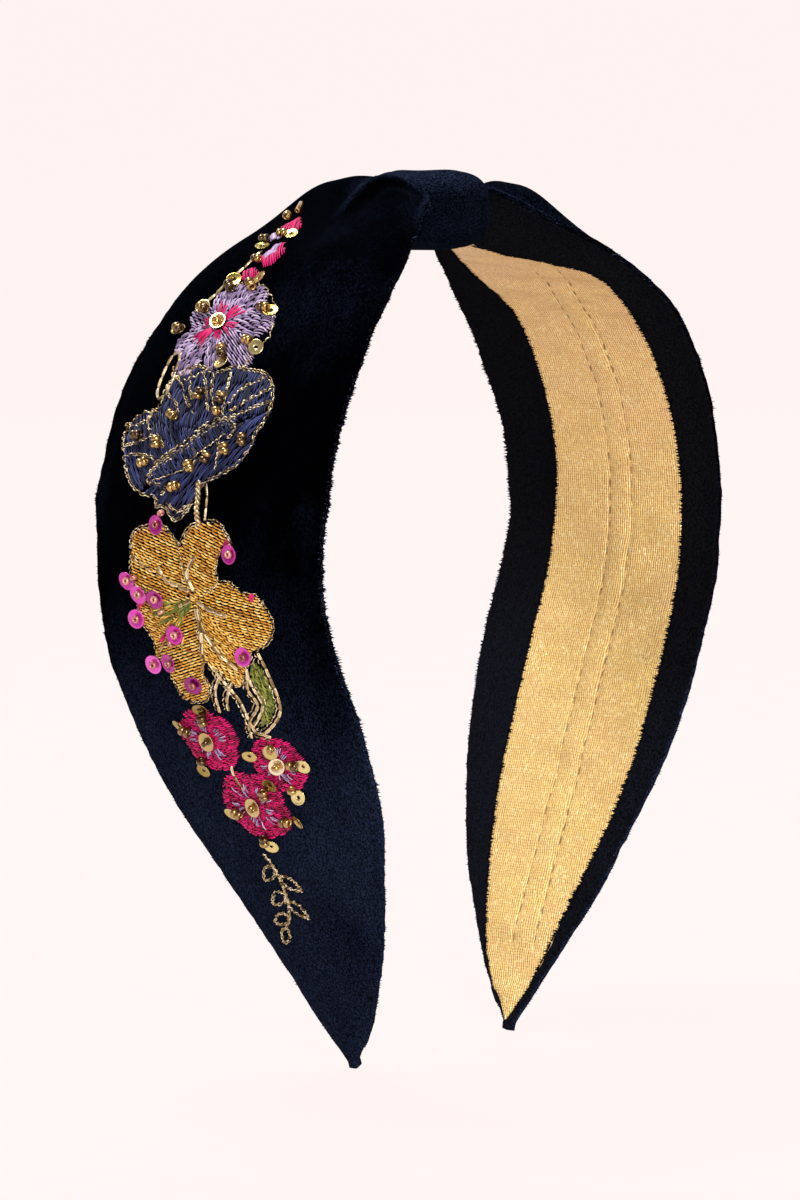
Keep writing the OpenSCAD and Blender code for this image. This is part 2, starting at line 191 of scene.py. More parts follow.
# How far each edge lies outside the plain outline: (s, mm)
EDGE_SHAPE = {
    (LEFT, 1): ((30, 0.0), (42, 0.2), (48, -0.4), (72, -0.4), (79, 0.4), (85, -0.2), (92, 0.0),
                (102, 0.6), (108, 1.1), (114, 0.7), (122, 0.1), (132, -0.4), (138, -0.9),
                (144, -1.6), (150, -2.0), (156, -1.85), (162, -1.4), (168, -0.7), (174, 0.45),
                (180, 1.4), (185, 1.9)),
    (LEFT, -1): ((50, 0.3), (60, 0.4), (67, 0.2), (78, 0.4), (85, -0.5), (96, -0.8),
                 (103, -0.4), (114, 0.2), (121, -0.1), (128, 0.4), (138, 0.6), (145, -0.2),
                 (156, 0.3), (168, 0.0), (174, 0.1), (180, -0.8), (185, -1.8)),
    (RIGHT, 1): ((34, 0.6), (48, 0.6), (55, 0.0), (61, 0.2), (66, -0.4), (72, -1.1), (84, -1.3),
                 (90, -1.7), (96, -0.9), (103, -0.4), (110, 0.1), (122, -0.7), (128, -0.6),
                 (136, -0.2), (146, 0.1), (156, 0.8), (163, 0.5), (174, 0.65), (180, -0.2),
                 (185, -1.0)),
    (RIGHT, -1): ((24, 0.3), (42, 0.9), (48, 1.3), (54, 0.6), (66, 0.4), (75, 0.0), (84, 0.4),
                  (91, 0.0), (97, 0.3), (108, 0.0), (128, -0.2), (144, -0.4), (150, -0.6),
                  (156, 0.2), (168, 0.2), (174, 0.4), (180, 0.95), (185, 1.2)),
}


def edge_w(s, side, end):
    """The cover's edge, a little wavy, at the front (end -1) or the back (end 1)."""
    h = half_w(s)
    calm = np.clip(h / 10, 0, 1) * np.clip((s - KNOT_EDGE) / 10, 0, 1)
    billow = 1.1 * np.exp(-((s - 11) / 3.5) ** 2) * (end == -1)
    shape = np.interp(s, *zip(*EDGE_SHAPE[side, end]))
    return end * (h + shape + billow + calm * (0.12 * edge_wave[side, end](s)
                                               + 0.1 * fine_wave[side, end](s)))


PLEATS = 1.5            # pleats across the cloth where it leaves the knot
HEM_SWELL = 0.85        # how far the hems rise beside the lining
HEM_TINT = 0.1          # the hems' tint: their velvet turns plain grey and keeps few of the painted glints
# The ridge of the fold beside the knot: (s, w), and where it fades out
FOLD = {LEFT: ((9, -7.5), (11, -7.2), (14, -5.5), (17, -3.9), (22, -3.4)),
        RIGHT: ((9, 4.4), (14, 3.8), (19, 2.6), (21, 1.6), (22.5, 0.1), (23.5, -2.3),
                (26, -6.0))}
FOLD_END = {LEFT: 28, RIGHT: 32}


def top_n(s, w, side):
    """The velvet's outer face, with one long soft fold that runs out of the knot."""
    s, w = np.asarray(s, float), np.asarray(w, float)
    h = half_w(s)
    u = np.clip(w / h, -1, 1)
    near = np.exp(-np.maximum(s - KNOT_EDGE, 0) / 12)
    pleat = 0.3 * near * np.cos(2 * np.pi * PLEATS * u + 0.6 * side) * (1 - u ** 4)
    ridge = np.interp(s, *zip(*FOLD[side]))
    fade = np.clip((FOLD_END[side] - s) / 12, 0, 1) * (1 - u ** 4)
    pleat = pleat + fade * (0.7 * np.exp(-((w - ridge) / 0.9) ** 2)
                            - 1.3 * np.exp(-((w - ridge + 2.6) / 1.7) ** 2))
    swell = 0.24 * cloth_wave[side](s, w) * np.clip(h / 12, 0, 1) * (1 - u ** 6)
    lift = bulge(s) * (1 - u * u) + puff(s, side) * (1 - u ** 4)
    return COVER_TOP + rise(s) + lift + pleat + swell


# The lining's front and back borders along the arm
LINING_FRONT = (
    (4, -1.5), (18, -2.4), (22.5, -3.2), (25, -7.0), (28, -10.5), (31, -14.6), (35, -16.2),
    (60, -16.5), (90, -17.1), (115, -17.6), (133, -16.8), (144, -15.0), (152, -12.8), (161, -10.0),
    (170, -7.0), (178, -3.6), (184, 0.0)
)
LINING_BACK = (
    (4, 4.0), (17, 6.2), (25, 9.4), (32, 10.8), (38, 10.4), (46, 9.2), (60, 9.9), (80, 10.1),
    (92, 11.0), (110, 11.6), (135, 11.5), (144, 11.0), (153, 9.9), (163, 8.2), (172, 6.2),
    (179, 3.2), (184, 0.9)
)


def lining_ends(s, side):
    """The lining's two borders, kept inside the cover's edges."""
    room = 0.05 + 0.6 * slim(s)
    front = np.maximum(np.interp(s, *zip(*LINING_FRONT)), edge_w(s, side, -1) + room)
    back = np.minimum(np.interp(s, *zip(*LINING_BACK)), edge_w(s, side, 1) - room)
    middle = (front + back) / 2
    return np.minimum(front, middle - 0.1), np.maximum(back, middle + 0.1)


# --- Colours and materials --------------------------------------------------------------
def srgb(r, g, b):
    """A screen colour, 0 to 255, as linear light."""
    return tuple(c / 12.92 if c <= 0.04045 else ((c + 0.055) / 1.055) ** 2.4
                 for c in (r / 255, g / 255, b / 255)) + (1.0,)


class Finish:
    """A procedural material under construction."""

    def __init__(self, name, rough=0.5, metal=0.0, **fixed):
        self.material = bpy.data.materials.new(name)
        self.material.use_nodes = True
        self.tree = self.material.node_tree
        self.shader = self.tree.nodes["Principled BSDF"]
        self.shader.inputs["Roughness"].default_value = rough
        self.shader.inputs["Metallic"].default_value = metal
        for key, value in fixed.items():
            self.shader.inputs[key.replace("_", " ")].default_value = value

    def node(self, kind, inputs=(), **settings):
        made = self.tree.nodes.new("ShaderNode" + kind)
        for key, value in settings.items():
            setattr(made, key, value)
        for key, value in dict(inputs).items():
            if isinstance(value, bpy.types.NodeSocket):
                self.tree.links.new(value, made.inputs[key])
            else:
                made.inputs[key].default_value = value
        return made

    def attribute(self, name, output="Fac"):
        return self.node("Attribute", attribute_name=name).outputs[output]

    def noise(self, place_by, scale, detail=3.0, rough=0.55):
        return self.node("TexNoise", {"Vector": place_by, "Scale": scale, "Detail": detail,
                                      "Roughness": rough}).outputs["Fac"]

    def sum(self, a, share_a, b, share_b, clamp=False):
        return self.math("ADD", self.math("MULTIPLY", a, share_a),
                         self.math("MULTIPLY", b, share_b), clamp)

    def stretch(self, vector, x, y, z):
        return self.node("Mapping", {"Vector": vector, "Scale": (x, y, z)}).outputs[0]

    def math(self, operation, a, b=0.5, clamp=False):
        return self.node("Math", {0: a, 1: b}, operation=operation, use_clamp=clamp).outputs[0]

    def ramp(self, factor, stops):
        """Colours by factor; stops are (position, screen colour)."""
        made = self.node("ValToRGB", {"Fac": factor})
        elements = made.color_ramp.elements
        while len(elements) < len(stops):
            elements.new(0.5)
        for element, (position, colour) in zip(elements, stops):
            element.position, element.color = position, srgb(*colour)
        return made.outputs["Color"]

    def between(self, factor, low, high):
        """A number that goes from low to high as factor goes from 0 to 1."""
        return self.node("MapRange", {"Value": factor, "To Min": low, "To Max": high}).outputs[0]

    def mix(self, factor, a, b):
        """From a to b as factor goes from 0 to 1; each is an output or a screen colour."""
        made = self.node("Mix", data_type="RGBA")
        for socket, value in (("Factor_Float", factor), ("A_Color", a), ("B_Color", b)):
            inputs = next(i for i in made.inputs if i.identifier == socket)
            if isinstance(value, bpy.types.NodeSocket):
                self.tree.links.new(value, inputs)
            else:
                inputs.default_value = srgb(*value)
        return next(o for o in made.outputs if o.identifier == "Result_Color")

    def bump(self, height, strength, distance_mm, under=None):
        inputs = {"Height": height, "Strength": strength, "Distance": distance_mm * MM}
        if under is not None:
            inputs["Normal"] = under
        return self.node("Bump", inputs).outputs[0]

    def set(self, **sockets):
        for key, value in sockets.items():
            self.tree.links.new(value, self.shader.inputs[key.replace("_", " ")])
        return self.material


def velvet_finish(name, deep, lit, painted_glint_colour, sheen, weight):
    """Cut pile: nearly black, with painted blue glints, specks of a paler colour where single tufts
    would catch the light. Brushed patches vary its tone at random, painted light makes it paler
    towards the tips, and the tint attribute adds painted highlights."""
    f = Finish(name, rough=0.9, Sheen_Weight=weight, Sheen_Roughness=0.24, Sheen_Tint=srgb(*sheen),
               Specular_IOR_Level=0.0)
    at = f.attribute("arm", "Vector")
    pile = f.noise(f.stretch(at, 1.0, 1.5, 1.0), 2.3, 2.0, 0.8)
    tufts = f.noise(f.stretch(at, 1.0, 2.0, 1.0), 1.1, 4.0, 0.8)
    brushed = f.noise(f.stretch(at, 0.5, 1.0, 1.0), 0.06, 3.0, 0.55)
    # painted light: the tone rises from s 88 to s 125, so the velvet is painted paler towards the tip
    down = f.node("MapRange", {"Value": f.node("SeparateXYZ", {0: at}).outputs[0],
                               "From Min": 88.0, "From Max": 125.0, "To Min": -0.36,
                               "To Max": 0.12}).outputs[0]
    tone = f.math("ADD", f.sum(brushed, 0.7, tufts, 0.3), down)
    ground = f.ramp(tone, [(0.4, deep), (0.66, lit)])
    # painted glints: specks of the paler glint colour where the fine pile noise is high
    specks = f.node("MapRange", {"Value": pile, "From Min": 0.42, "From Max": 0.66}).outputs[0]
    # the tint attribute: above 0.5 a painted highlight that brings more glints; below 0.5 the velvet turns
    # plain grey with fewer glints
    tint = f.attribute("tint")
    painted_highlight = f.math("MULTIPLY", f.math("SUBTRACT", tint, 0.5), 1.9, clamp=True)
    dim = f.math("MULTIPLY", tint, 2.0, clamp=True)
    strength = f.math("ADD", f.between(tone, -0.26, 1.2), painted_highlight, clamp=True)
    painted_glint_amount = f.math("MULTIPLY", specks, f.math("MULTIPLY", strength, dim))
    bump = f.bump(pile, 0.9, 0.3, f.bump(tufts, 0.4, 0.4))
    flat = f.ramp(pile, [(0.34, (5, 5, 6)), (0.66, (23, 23, 26))])
    plain = f.mix(dim, flat, ground)
    return f.set(Base_Color=f.mix(painted_glint_amount, plain, painted_glint_colour), Normal=bump,
                 Roughness=f.between(tone, 0.8, 1.0))


def lining_finish():
    """A knitted lurex cloth: fine ribs along the arm, gold yarn over a rosy beige ground, with a
    painted sparkle, painted light towards the tip and painted shade in its creases.
    """
    f = Finish("gold_lurex", rough=0.5, metal=0.3, Sheen_Weight=0.12, Sheen_Roughness=0.4,
               Sheen_Tint=srgb(255, 232, 190), Specular_IOR_Level=0.4)
    at = f.attribute("arm", "Vector")
    warp = f.node("VectorMath", {0: at, 1: f.node(
        "TexNoise", {"Vector": at, "Scale": 0.25, "Detail": 2.0}).outputs["Color"]},
        operation="ADD").outputs[0]
    ribs = f.node("TexWave", {"Vector": f.stretch(warp, 0.1, 1.0, 0.0), "Scale": 0.72,
                              "Distortion": 0.5, "Detail": 2.0, "Detail Scale": 2.0},
                  wave_type="BANDS", bands_direction="Y").outputs["Fac"]
    loops = f.node("TexWave", {"Vector": f.stretch(warp, 1.0, 0.15, 0.0), "Scale": 0.62,
                               "Distortion": 1.5, "Detail": 2.0, "Detail Scale": 2.0},
                   wave_type="BANDS", bands_direction="X").outputs["Fac"]
    cells = f.node("TexVoronoi", {"Vector": f.stretch(at, 1.0, 1.6, 1.0), "Scale": 2.4,
                                  "Randomness": 1.0})
    glint = f.node("SeparateColor", {"Color": cells.outputs["Color"]}).outputs[0]
    cloudy = f.noise(at, 0.07, 4.0, 0.6)
    # towards the tip the cloth turns from rosy to a brighter gilt and more metallic: partly the yarn's own
    # colour, partly painted light
    along = f.node("MapRange", {"Value": f.node("SeparateXYZ", {0: at}).outputs[0],
                                "From Min": 5.0, "From Max": 110.0}).outputs[0]
    golden = f.sum(along, 0.65, f.math("SUBTRACT", cloudy, 0.5), 1.1, clamp=True)
    weave = f.sum(ribs, 0.75, loops, 0.25)
    rosy = f.ramp(weave, [(0.1, (166, 120, 80)), (0.5, (228, 182, 128)),
                          (0.9, (250, 210, 154))])
    gilt = f.ramp(weave, [(0.1, (174, 130, 66)), (0.5, (238, 198, 118)),
                          (0.9, (252, 224, 148))])
    ground = f.mix(golden, rosy, gilt)
    # the gold yarn's colour in random cells; its brightest end is a painted sparkle, more of it towards the
    # tip
    gold = f.ramp(glint, [(0.0, (172, 128, 72)), (0.45, (234, 194, 120)),
                          (0.8, (252, 218, 122)), (0.97, (255, 246, 190))])
    colour = f.mix(f.math("MULTIPLY", glint, f.math("ADD", f.math("MULTIPLY", golden, 0.5),
                                                    0.3)), ground, gold)
    # painted shade: soft creases darken the lining towards a brown, most near the knot
    crease = f.node("MapRange", {"Value": f.noise(f.stretch(at, 1.6, 0.7, 0.0), 0.16, 3.0, 0.55),
                                 "From Min": 0.5, "From Max": 0.7, "To Max": 0.3}).outputs[0]
    crease = f.math("MULTIPLY", crease, f.math("SUBTRACT", 1.15, along))
    colour = f.mix(crease, colour, (172, 122, 74))
    bump = f.bump(glint, 0.4, 0.12, f.bump(weave, 0.8, 0.16))
    return f.set(Base_Color=colour, Roughness=f.between(glint, 0.6, 0.3), Normal=bump,
                 Metallic=f.between(golden, 0.12, 0.45))


def grained(f, grain, tint_share, stops, gloss, relief):
    """Each stitch or bead has its own tint, and a grain varies its colour, gloss and face."""
    grain = f.noise(f.attribute("arm", "Vector"), *grain)
    tone = f.sum(f.attribute("tint"), tint_share, grain, 1 - tint_share)
    return f.set(Base_Color=f.ramp(tone, stops), Roughness=f.between(grain, *gloss),
                 Normal=f.bump(grain, *relief))


def thread_finish(name, dark, mid, light, rough=0.42):
    """Embroidery thread with fine twist lines."""
    f = Finish(name, rough=rough, Specular_IOR_Level=0.4, Sheen_Weight=0.06, Sheen_Roughness=0.3)
    return grained(f, (3.5, 3.0, 0.6), 0.7, [(0.12, dark), (0.5, mid), (0.88, light)],
                   (rough - 0.08, rough + 0.14), (0.3, 0.06))


def metal_finish(name, dark, mid, light, rough, metal=1.0, **fixed):
    """Gold cord, sequins and spring steel: a polished metal with wear in its tint and gloss."""
    f = Finish(name, rough=rough, metal=metal, **fixed)
    return grained(f, (2.2, 4.0, 0.6), 0.6, [(0.2, dark), (0.5, mid), (0.8, light)],
                   (rough * 0.7, rough * 1.5), (0.15, 0.05))


def glass_finish(name, dark, light, metal):
    """Bead glass with a metal-lined hole: mostly reflected colour under a clear coat."""
    f = Finish(name, rough=0.2, metal=metal, Coat_Weight=0.8, Coat_Roughness=0.06, IOR=1.5)
    return grained(f, (1.8, 2.0, 0.5), 0.6, [(0.25, dark), (0.75, light)], (0.14, 0.32),
                   (0.1, 0.05))


def felt_finish():
    """Grey felt with loose fibres."""
    f = Finish("grey_felt", rough=0.95, Sheen_Weight=0.2)
    at = f.attribute("arm", "Vector")
    fibres = f.noise(at, 1.3, 5.0, 0.7)
    return f.set(Base_Color=f.ramp(fibres, [(0.3, (70, 72, 78)), (0.7, (118, 120, 126))]),
                 Normal=f.bump(fibres, 0.6, 0.3))


# velvet and pile: name, deep tone, lit tone, painted glint colour, sheen tint, sheen weight
VELVET = velvet_finish("navy_velvet", (1, 1, 2), (9, 12, 21), (42, 53, 79),
                       (150, 172, 220), 0.022)
# the pile is a lighter copy of the velvet: painted backlight on the edge tufts, with brighter painted glints
PILE = velvet_finish("navy_pile", (8, 12, 22), (32, 44, 70), (84, 102, 146),
                     (170, 188, 230), 0.14)
LINING = lining_finish()
FELT = felt_finish()
LILAC = thread_finish("lilac_thread", (112, 90, 128), (170, 146, 186),
                      (212, 192, 222))
MAGENTA = thread_finish("magenta_thread", (116, 0, 50), (196, 0, 88),
                        (236, 4, 122), 0.5)
NAVY = thread_finish("navy_thread", (8, 10, 30), (24, 30, 72), (62, 72, 128))
YELLOW = thread_finish("yellow_thread", (176, 110, 26), (244, 182, 66),
                       (255, 226, 140))
GREEN = thread_finish("green_thread", (60, 68, 12), (108, 116, 30), (156, 158, 66))
GOLD_THREAD = thread_finish("gold_sewing_thread", (88, 66, 50), (122, 94, 66),
                            (164, 130, 90))
CORD = metal_finish("antique_gold_cord", (104, 80, 48), (212, 184, 136),
                    (255, 240, 204), 0.3, metal=0.85)
SEQUIN = metal_finish("gold_sequin", (136, 112, 52), (200, 176, 104),
                      (238, 220, 156), 0.22)
CUP = metal_finish("cup_sequin", (196, 168, 110), (232, 210, 160), (252, 240, 206),
                   0.24, metal=0.8)
PINK = metal_finish("pink_sequin", (140, 0, 104), (206, 30, 164), (240, 96, 206),
                    0.26, metal=0.5, Coat_Weight=0.6, Coat_Roughness=0.08)
BRONZE = glass_finish("bronze_glass", (84, 58, 22), (190, 150, 84), 0.9)
ROSE = glass_finish("rose_glass", (150, 70, 66), (226, 160, 140), 0.4)
BUGLE = glass_finish("gold_glass", (150, 104, 44), (220, 182, 108), 0.85)
STEEL = metal_finish("spring_steel", (96, 98, 102), (140, 142, 148),
                     (176, 178, 184), 0.3)
RUBBER = metal_finish("cap_rubber", (20, 20, 21), (30, 30, 32), (44, 44, 46), 0.7,
                      metal=0.0)


# --- Mesh building ----------------------------------------------------------------------
def new_object(name, points, faces, material, smooth=True):
    mesh = bpy.data.meshes.new(name)
    mesh.from_pydata(points, [], faces)
    mesh.polygons.foreach_set("use_smooth", [smooth] * len(mesh.polygons))
    mesh.materials.append(material)
    made = bpy.data.objects.new(name, mesh)
    bpy.context.scene.collection.objects.link(made)
    return made


class Heap:
    """Gathers shapes into one mesh, with a tint and arm coordinates on every point."""

    def __init__(self):
        self.points, self.faces, self.tints, self.arms, self.count = [], [], [], [], 0

    def add(self, points, faces, tint=0.5, arm=None):
        points = np.asarray(points, float).reshape(-1, 3)
        self.points.append(points)
        self.faces += [tuple(int(i) + self.count for i in f) for f in faces]
        self.tints.append(np.broadcast_to(np.asarray(tint, float), len(points)))
        self.arms.append(points / MM if arm is None else np.asarray(arm, float).reshape(-1, 3))
        self.count += len(points)

    def piece(self, name, material, slot, *nodes, smooth=True):
        piece = new_object(name, np.concatenate(self.points).tolist(), self.faces, material,
                           smooth)
        made = piece.data.attributes
        made.new("tint", "FLOAT", "POINT").data.foreach_set(
            "value", np.concatenate(self.tints).astype(np.float32))
        made.new("arm", "FLOAT_VECTOR", "POINT").data.foreach_set(
            "vector", np.concatenate(self.arms).astype(np.float32).ravel())
        piece.data.update()
        if nodes:
            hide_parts(*nodes)
        return piece


def sideways(line):
    """Unit directions square to a flat line, at each of its points."""
    along = np.gradient(line, axis=0)
    along /= np.linalg.norm(along, axis=1, keepdims=True) + TINY
    return np.stack([-along[:, 1], along[:, 0]], -1)


def grid_faces(rows, columns, around=False):
    """Quads of a grid of points, joined on into a loop along its columns if around."""
    last = columns if around else columns - 1
    r, c = np.meshgrid(np.arange(rows - 1), np.arange(last), indexing="ij")
    a, b = r * columns + c, r * columns + (c + 1) % columns
    return np.stack([a, b, b + columns, a + columns], -1).reshape(-1, 4).tolist()


def loft(sections, side, inside_out=False):
    """Points, faces and arm coordinates of a tube through closed sections, ends filled.
    sections is rows x points x 3 in arm coordinates."""
    rows, columns = sections.shape[:2]
    faces = grid_faces(rows, columns, around=True)
    half = columns // 2
    for row, flip in ((0, False), (rows - 1, True)):
        base = row * columns
        for i in range(half - 1):
            quad = (base + i, base + i + 1, base + columns - 2 - i, base + columns - 1 - i)
            faces.append(quad[::-1] if flip else quad)
    points = place(sections[..., 0], sections[..., 1], sections[..., 2], side)
    if (side == LEFT) != inside_out:
        faces = [f[::-1] for f in faces]
    return points.reshape(-1, 3), faces, sections.reshape(-1, 3)


BEND_FROM, BEND_TO, BEND_Z = 8 * MM, 20 * MM, 10 * MM


def blend_arm(piece, side):
    """The piece follows the knot up to its edge and its own arm from there on."""
    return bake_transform(piece, "crown", ARMS[side] + "_arm", start=(side * BEND_FROM, 0, BEND_Z),
                    end=(side * BEND_TO, 0, BEND_Z))


def lofted(side, name, material, slot, sections, *nodes, tint=0.5, inside_out=False):
    """A piece that runs along one arm through these sections, and bends with the arm."""
    points, faces, arm = loft(np.array(sections), side, inside_out)
    heap = Heap()
    heap.add(points, faces, tint, arm)
    piece = heap.piece(f"{ARMS[side]}_{name}", material, slot, *nodes)
    blend_arm(piece, side)
    return piece


# --- The velvet cover -------------------------------------------------------------------
def cover_outline(s, side):
    """The outer skin of a cross-section, from the front hem over the top to the back hem."""
    h, parts = float(half_w(s)), []
    r = min(EDGE_R, 0.35 * h)
    for end in (-1, 1):
        border = float(lining_ends(s, side)[(end + 1) // 2])
        e, tip = border - end * 0.7 * float(slim(s)), float(edge_w(s, side, end))
        inner = tip - end * r
        t = np.linspace(0, 1, 20)[:-1] ** 1.6
        ease = t * t * (3 - 2 * t)
        low = -1.7 * slim(s) - sink(s)
        far = abs(inner - e) * t
        swell = HEM_SWELL * slim(s) * np.clip(far / 0.8, 0, 1) ** 1.5 * np.exp(
            -(np.maximum(far - 0.8, 0) / 2.2) ** 2) * np.clip((s - KNOT_END) / 4, 0, 1)
        hem = np.stack([e + (inner - e) * t,
                        low + (rise(s) - 0.1 - EDGE_R - low) * ease - swell], -1)
        turn = np.linspace(-np.pi / 2, np.pi / 2, 9)
        roll = np.stack([inner + end * r * np.cos(turn),
                         rise(s) - 0.1 + EDGE_R * np.sin(turn)], -1)
        parts.append(np.concatenate([hem, roll]))
    front, back = parts
    w = np.linspace(front[-1, 0], back[-1, 0], 64)[1:-1]
    blend = np.clip(np.minimum(w - w[0], w[-1] - w) / 1.5 + 0.1, 0, 1)
    n = top_n(s, w, side)
    edge = rise(s) + COVER_TOP
    n = edge + (n - edge) * blend
    outline = np.concatenate([front, np.stack([w, n], -1), back[::-1]])
    free = WRAP_REACH[side] + 0.1       # squeezed to go in under the wrap
    if s < free:
        middle = np.array([0.0, 1.6])
        squeeze = 0.74 + 0.26 * np.clip((s - free + 1.0) / 1.0, 0, 1) ** 2
        outline = middle + (outline - middle) * squeeze
    return outline


def make_cover(side):
    """The velvet of one arm, folded round both edges to the inside."""
    rings = np.concatenate([np.arange(2.5, 40, 0.55), np.arange(40, 175, 0.8),
                            np.arange(175, ARM_LEN + 0.01, 0.5)])
    sections = []
    for s in rings:
        outer = cover_outline(s, side)
        inner = outer - sideways(outer) * (VELVET_T if half_w(s) > 2.5 else VELVET_T_TIP)
        loop = np.concatenate([outer, inner[::-1]])
        sections.append(np.column_stack([np.full(len(loop), s), loop]))
    cover = lofted(side, "cover", VELVET, "velvet", sections, ARMS[side] + "_velvet",
                   tint=painted_gleam(np.array(sections).reshape(-1, 3), side))


def painted_gleam(arm, side):
    """Painted light in the velvet's tint: 0.5 for plain cloth, up to 1 for a painted highlight along
    a fold's ridge and the front edge beside the knot, a little over 0.5 for a painted sheen on the
    right arm's outer face, and HEM_TINT on the hems.
    """
    s, w, n = arm.T
    ridge = np.interp(s, *zip(*FOLD[side]))
    near = np.clip((FOLD_END[side] - s) / 8, 0, 1) * (n > rise(s) + 0.4)
    # painted highlight along the fold's ridge, with a softer one beside it
    along = 0.8 * np.exp(-((w - ridge - 0.2) / 0.55) ** 2)
    along += 0.2 * np.exp(-((w - ridge - 1.6) / 1.3) ** 2)
    # painted highlight along the front edge beside the knot
    rim = np.exp(-((w - edge_w(s, side, -1) - 0.5) / 0.6) ** 2) * np.clip((22 - s) / 10, 0, 1)
    outer = n > rise(s) - 0.5
    # the outer face is 0.5 and the hems HEM_TINT; the right arm's outer face gets a little more, a painted
    # sheen
    plain = HEM_TINT + 0.4 * outer + 0.07 * outer * (side == RIGHT)
    return plain + 0.5 * np.clip(near * np.maximum(along, 0.6 * rim), 0, 1)


def add_tuft(heap, corners, tint, side):
    """A pointed tuft: three corners at its root and the last one at its tip."""
    arm = np.array(corners)
    heap.add(place(arm[:, 0], arm[:, 1], arm[:, 2], side),
             [(0, 1, 3), (1, 2, 3), (2, 0, 3), (2, 1, 0)], tint, arm)


def make_pile(side):
    """Short tufts of pile that stand out along the cover's folded edges."""
    rng = random.Random(f"pile{side}")
    clumps = waves(f"clumps{side}", 3, 14)
    heap = Heap()
    for end in (-1, 1):
        s = 11.0
        while s < 183:
            cut = float(end * side > 0) * float(np.exp(-((s - 88) / 44) ** 4))
            s += rng.uniform(0.08, 0.3) * (1 - 0.5 * cut)
            thick = 0.4 + 0.25 * float(clumps(s, 40.0 * end)) + 0.35 * cut
            length = rng.uniform(0.25, 0.8) * np.clip(thick, 0.2, 1.0)
            lean, lift, width = rng.uniform(-0.4, 0.4), rng.uniform(-0.8, 0.8), 0.1 + 0.05 * cut
            w, n = float(edge_w(s, side, end)), rise(s) - 0.1 + 0.7 * lift
            root = w - end * (0.12 + 0.35 * lift ** 2)
            corners = [(s - width, root, n - width), (s + width, root, n - width),
                       (s, root, n + width), (s + lean * length, root + end * (length + 0.1),
                                              n + lift * 0.7 * length)]
            # a random tint: tufts above 0.5 get the painted highlight, those below turn plain grey
            add_tuft(heap, corners, rng.random(), side)
    blend_arm(heap.piece(ARMS[side] + "_edge_pile", PILE, "velvet", smooth=False), side)


# --- The lining -------------------------------------------------------------------------
CASING_HALF = 2.3   # from the middle of the spring's casing to each row of stitches
STITCH, STITCH_GAP = 2.0, 0.6
RAGGED = 0.18       # how uneven the lining's borders are
CASING_PATH = (
    (14, -1.0), (24, -5.2), (30, -6.4), (45, -4.6), (70, -4.25), (90, -3.9), (110, -3.7),
    (140, -3.2), (172, -1.6)
)
SPRING_PATH = (
    (0, 1.2), (15, 1.2), (30, -1.6), (45, -3.4), (60, -3.9), (90, -3.9), (130, -3.5), (166, -2.0)
)


SPRING_END = 166.0


def lining_low(s, w, side):
    """The face of the lining that meets the head, with the spring's casing sewn in."""
    front, back = lining_ends(s, side)
    u = np.clip((2 * w - front - back) / (back - front), -1, 1)
    across = w - np.interp(s, *zip(*CASING_PATH))
    room = np.clip((s - 25) / 6, 0, 1) * np.clip((172 - s) / 4, 0, 1) * np.clip(
        half_w(s) / 5 - 0.6, 0, 1)
    casing = 0.2 / (1 + np.exp((np.abs(across) - CASING_HALF + 0.6) * 1.7)) * room
    rows = sum(np.exp(-((across - k * CASING_HALF) / 0.5) ** 2) for k in (-1, 1))
    pull = rows * (0.15 + 0.02 * np.cos(2 * np.pi * s / (STITCH + STITCH_GAP))) * room
    loose = 0.2 + 0.22 * np.exp(-((s - 28) / 16) ** 2)
    slack = loose * lining_wave[side](s, w) * (1 - u ** 4)
    low = (LINING_TOP - LINING_T - 0.25 * (1 - u * u)) * slim(s) - sink(s)
    return low - casing + pull + slack


def make_lining(side):
    """The lurex lining of one arm, with slightly uneven borders."""
    ragged = {end: waves(f"rag{side}{end}", 1.3, 4.0) for end in (-1, 1)}
    rings = np.arange(4.0, 183.71, 0.6)
    sections = []
    for s in rings:
        low_end, high_end = lining_ends(s, side)
        w = np.linspace(low_end, high_end, 124)
        for end, near in ((-1, w - low_end), (1, high_end - w)):
            w = w + end * RAGGED * float(slim(s)) * float(ragged[end](s)) * np.exp(-near / 0.5)
        low_end, high_end = w[0], w[-1]
        n = lining_low(s, w, side)
        edge = np.clip(np.minimum(w - low_end, high_end - w) / 0.5, 0, 1)
        n_low = n + 0.12 * (1 - edge) ** 2
        n_high = np.maximum(n_low + 0.2, (LINING_TOP + 0.15) * slim(s) - sink(s))
        if s < KNOT_END:
            w = w * (0.8 + 0.2 * np.clip((s - 4) / 5.3, 0, 1))
            n_low, n_high = n_low + 1.6, n_high + 1.6
        loop_w = np.concatenate([w, w[::-1]])
        loop_n = np.concatenate([n_low, n_high[::-1]])
        sections.append(np.column_stack([np.full(len(loop_w), s), loop_w, loop_n]))
    lining = lofted(side, "lurex", LINING, "gold_lining", sections, ARMS[side] + "_lining",
                    inside_out=True)


def make_hem_pile(side):
    """Tufts of the hems' pile that lie over the borders of the lining."""
    rng = random.Random(f"hem{side}")
    heap = Heap()
    for end, way in ((0, 1), (1, -1)):
        s = 12.0
        while s < 181:
            s += rng.uniform(0.2, 0.5)
            edge, small = float(lining_ends(s, side)[end]), float(slim(s))
            reach = rng.uniform(0.25, 1.05) * small
            lean, width = rng.uniform(-0.4, 0.4), rng.uniform(0.16, 0.34)
            root, tip = edge - way * 0.15, edge + way * reach
            low = float(lining_low(s, edge + way * 0.1, side))
            corners = [(s - width, root, low), (s + width, root, low),
                       (s, root, low - 0.22),
                       (s + lean * reach, tip, float(lining_low(s, tip, side)) - 0.05)]
            add_tuft(heap, corners, HEM_TINT, side)
    blend_arm(heap.piece(ARMS[side] + "_hem_pile", VELVET, "velvet", smooth=False), side)


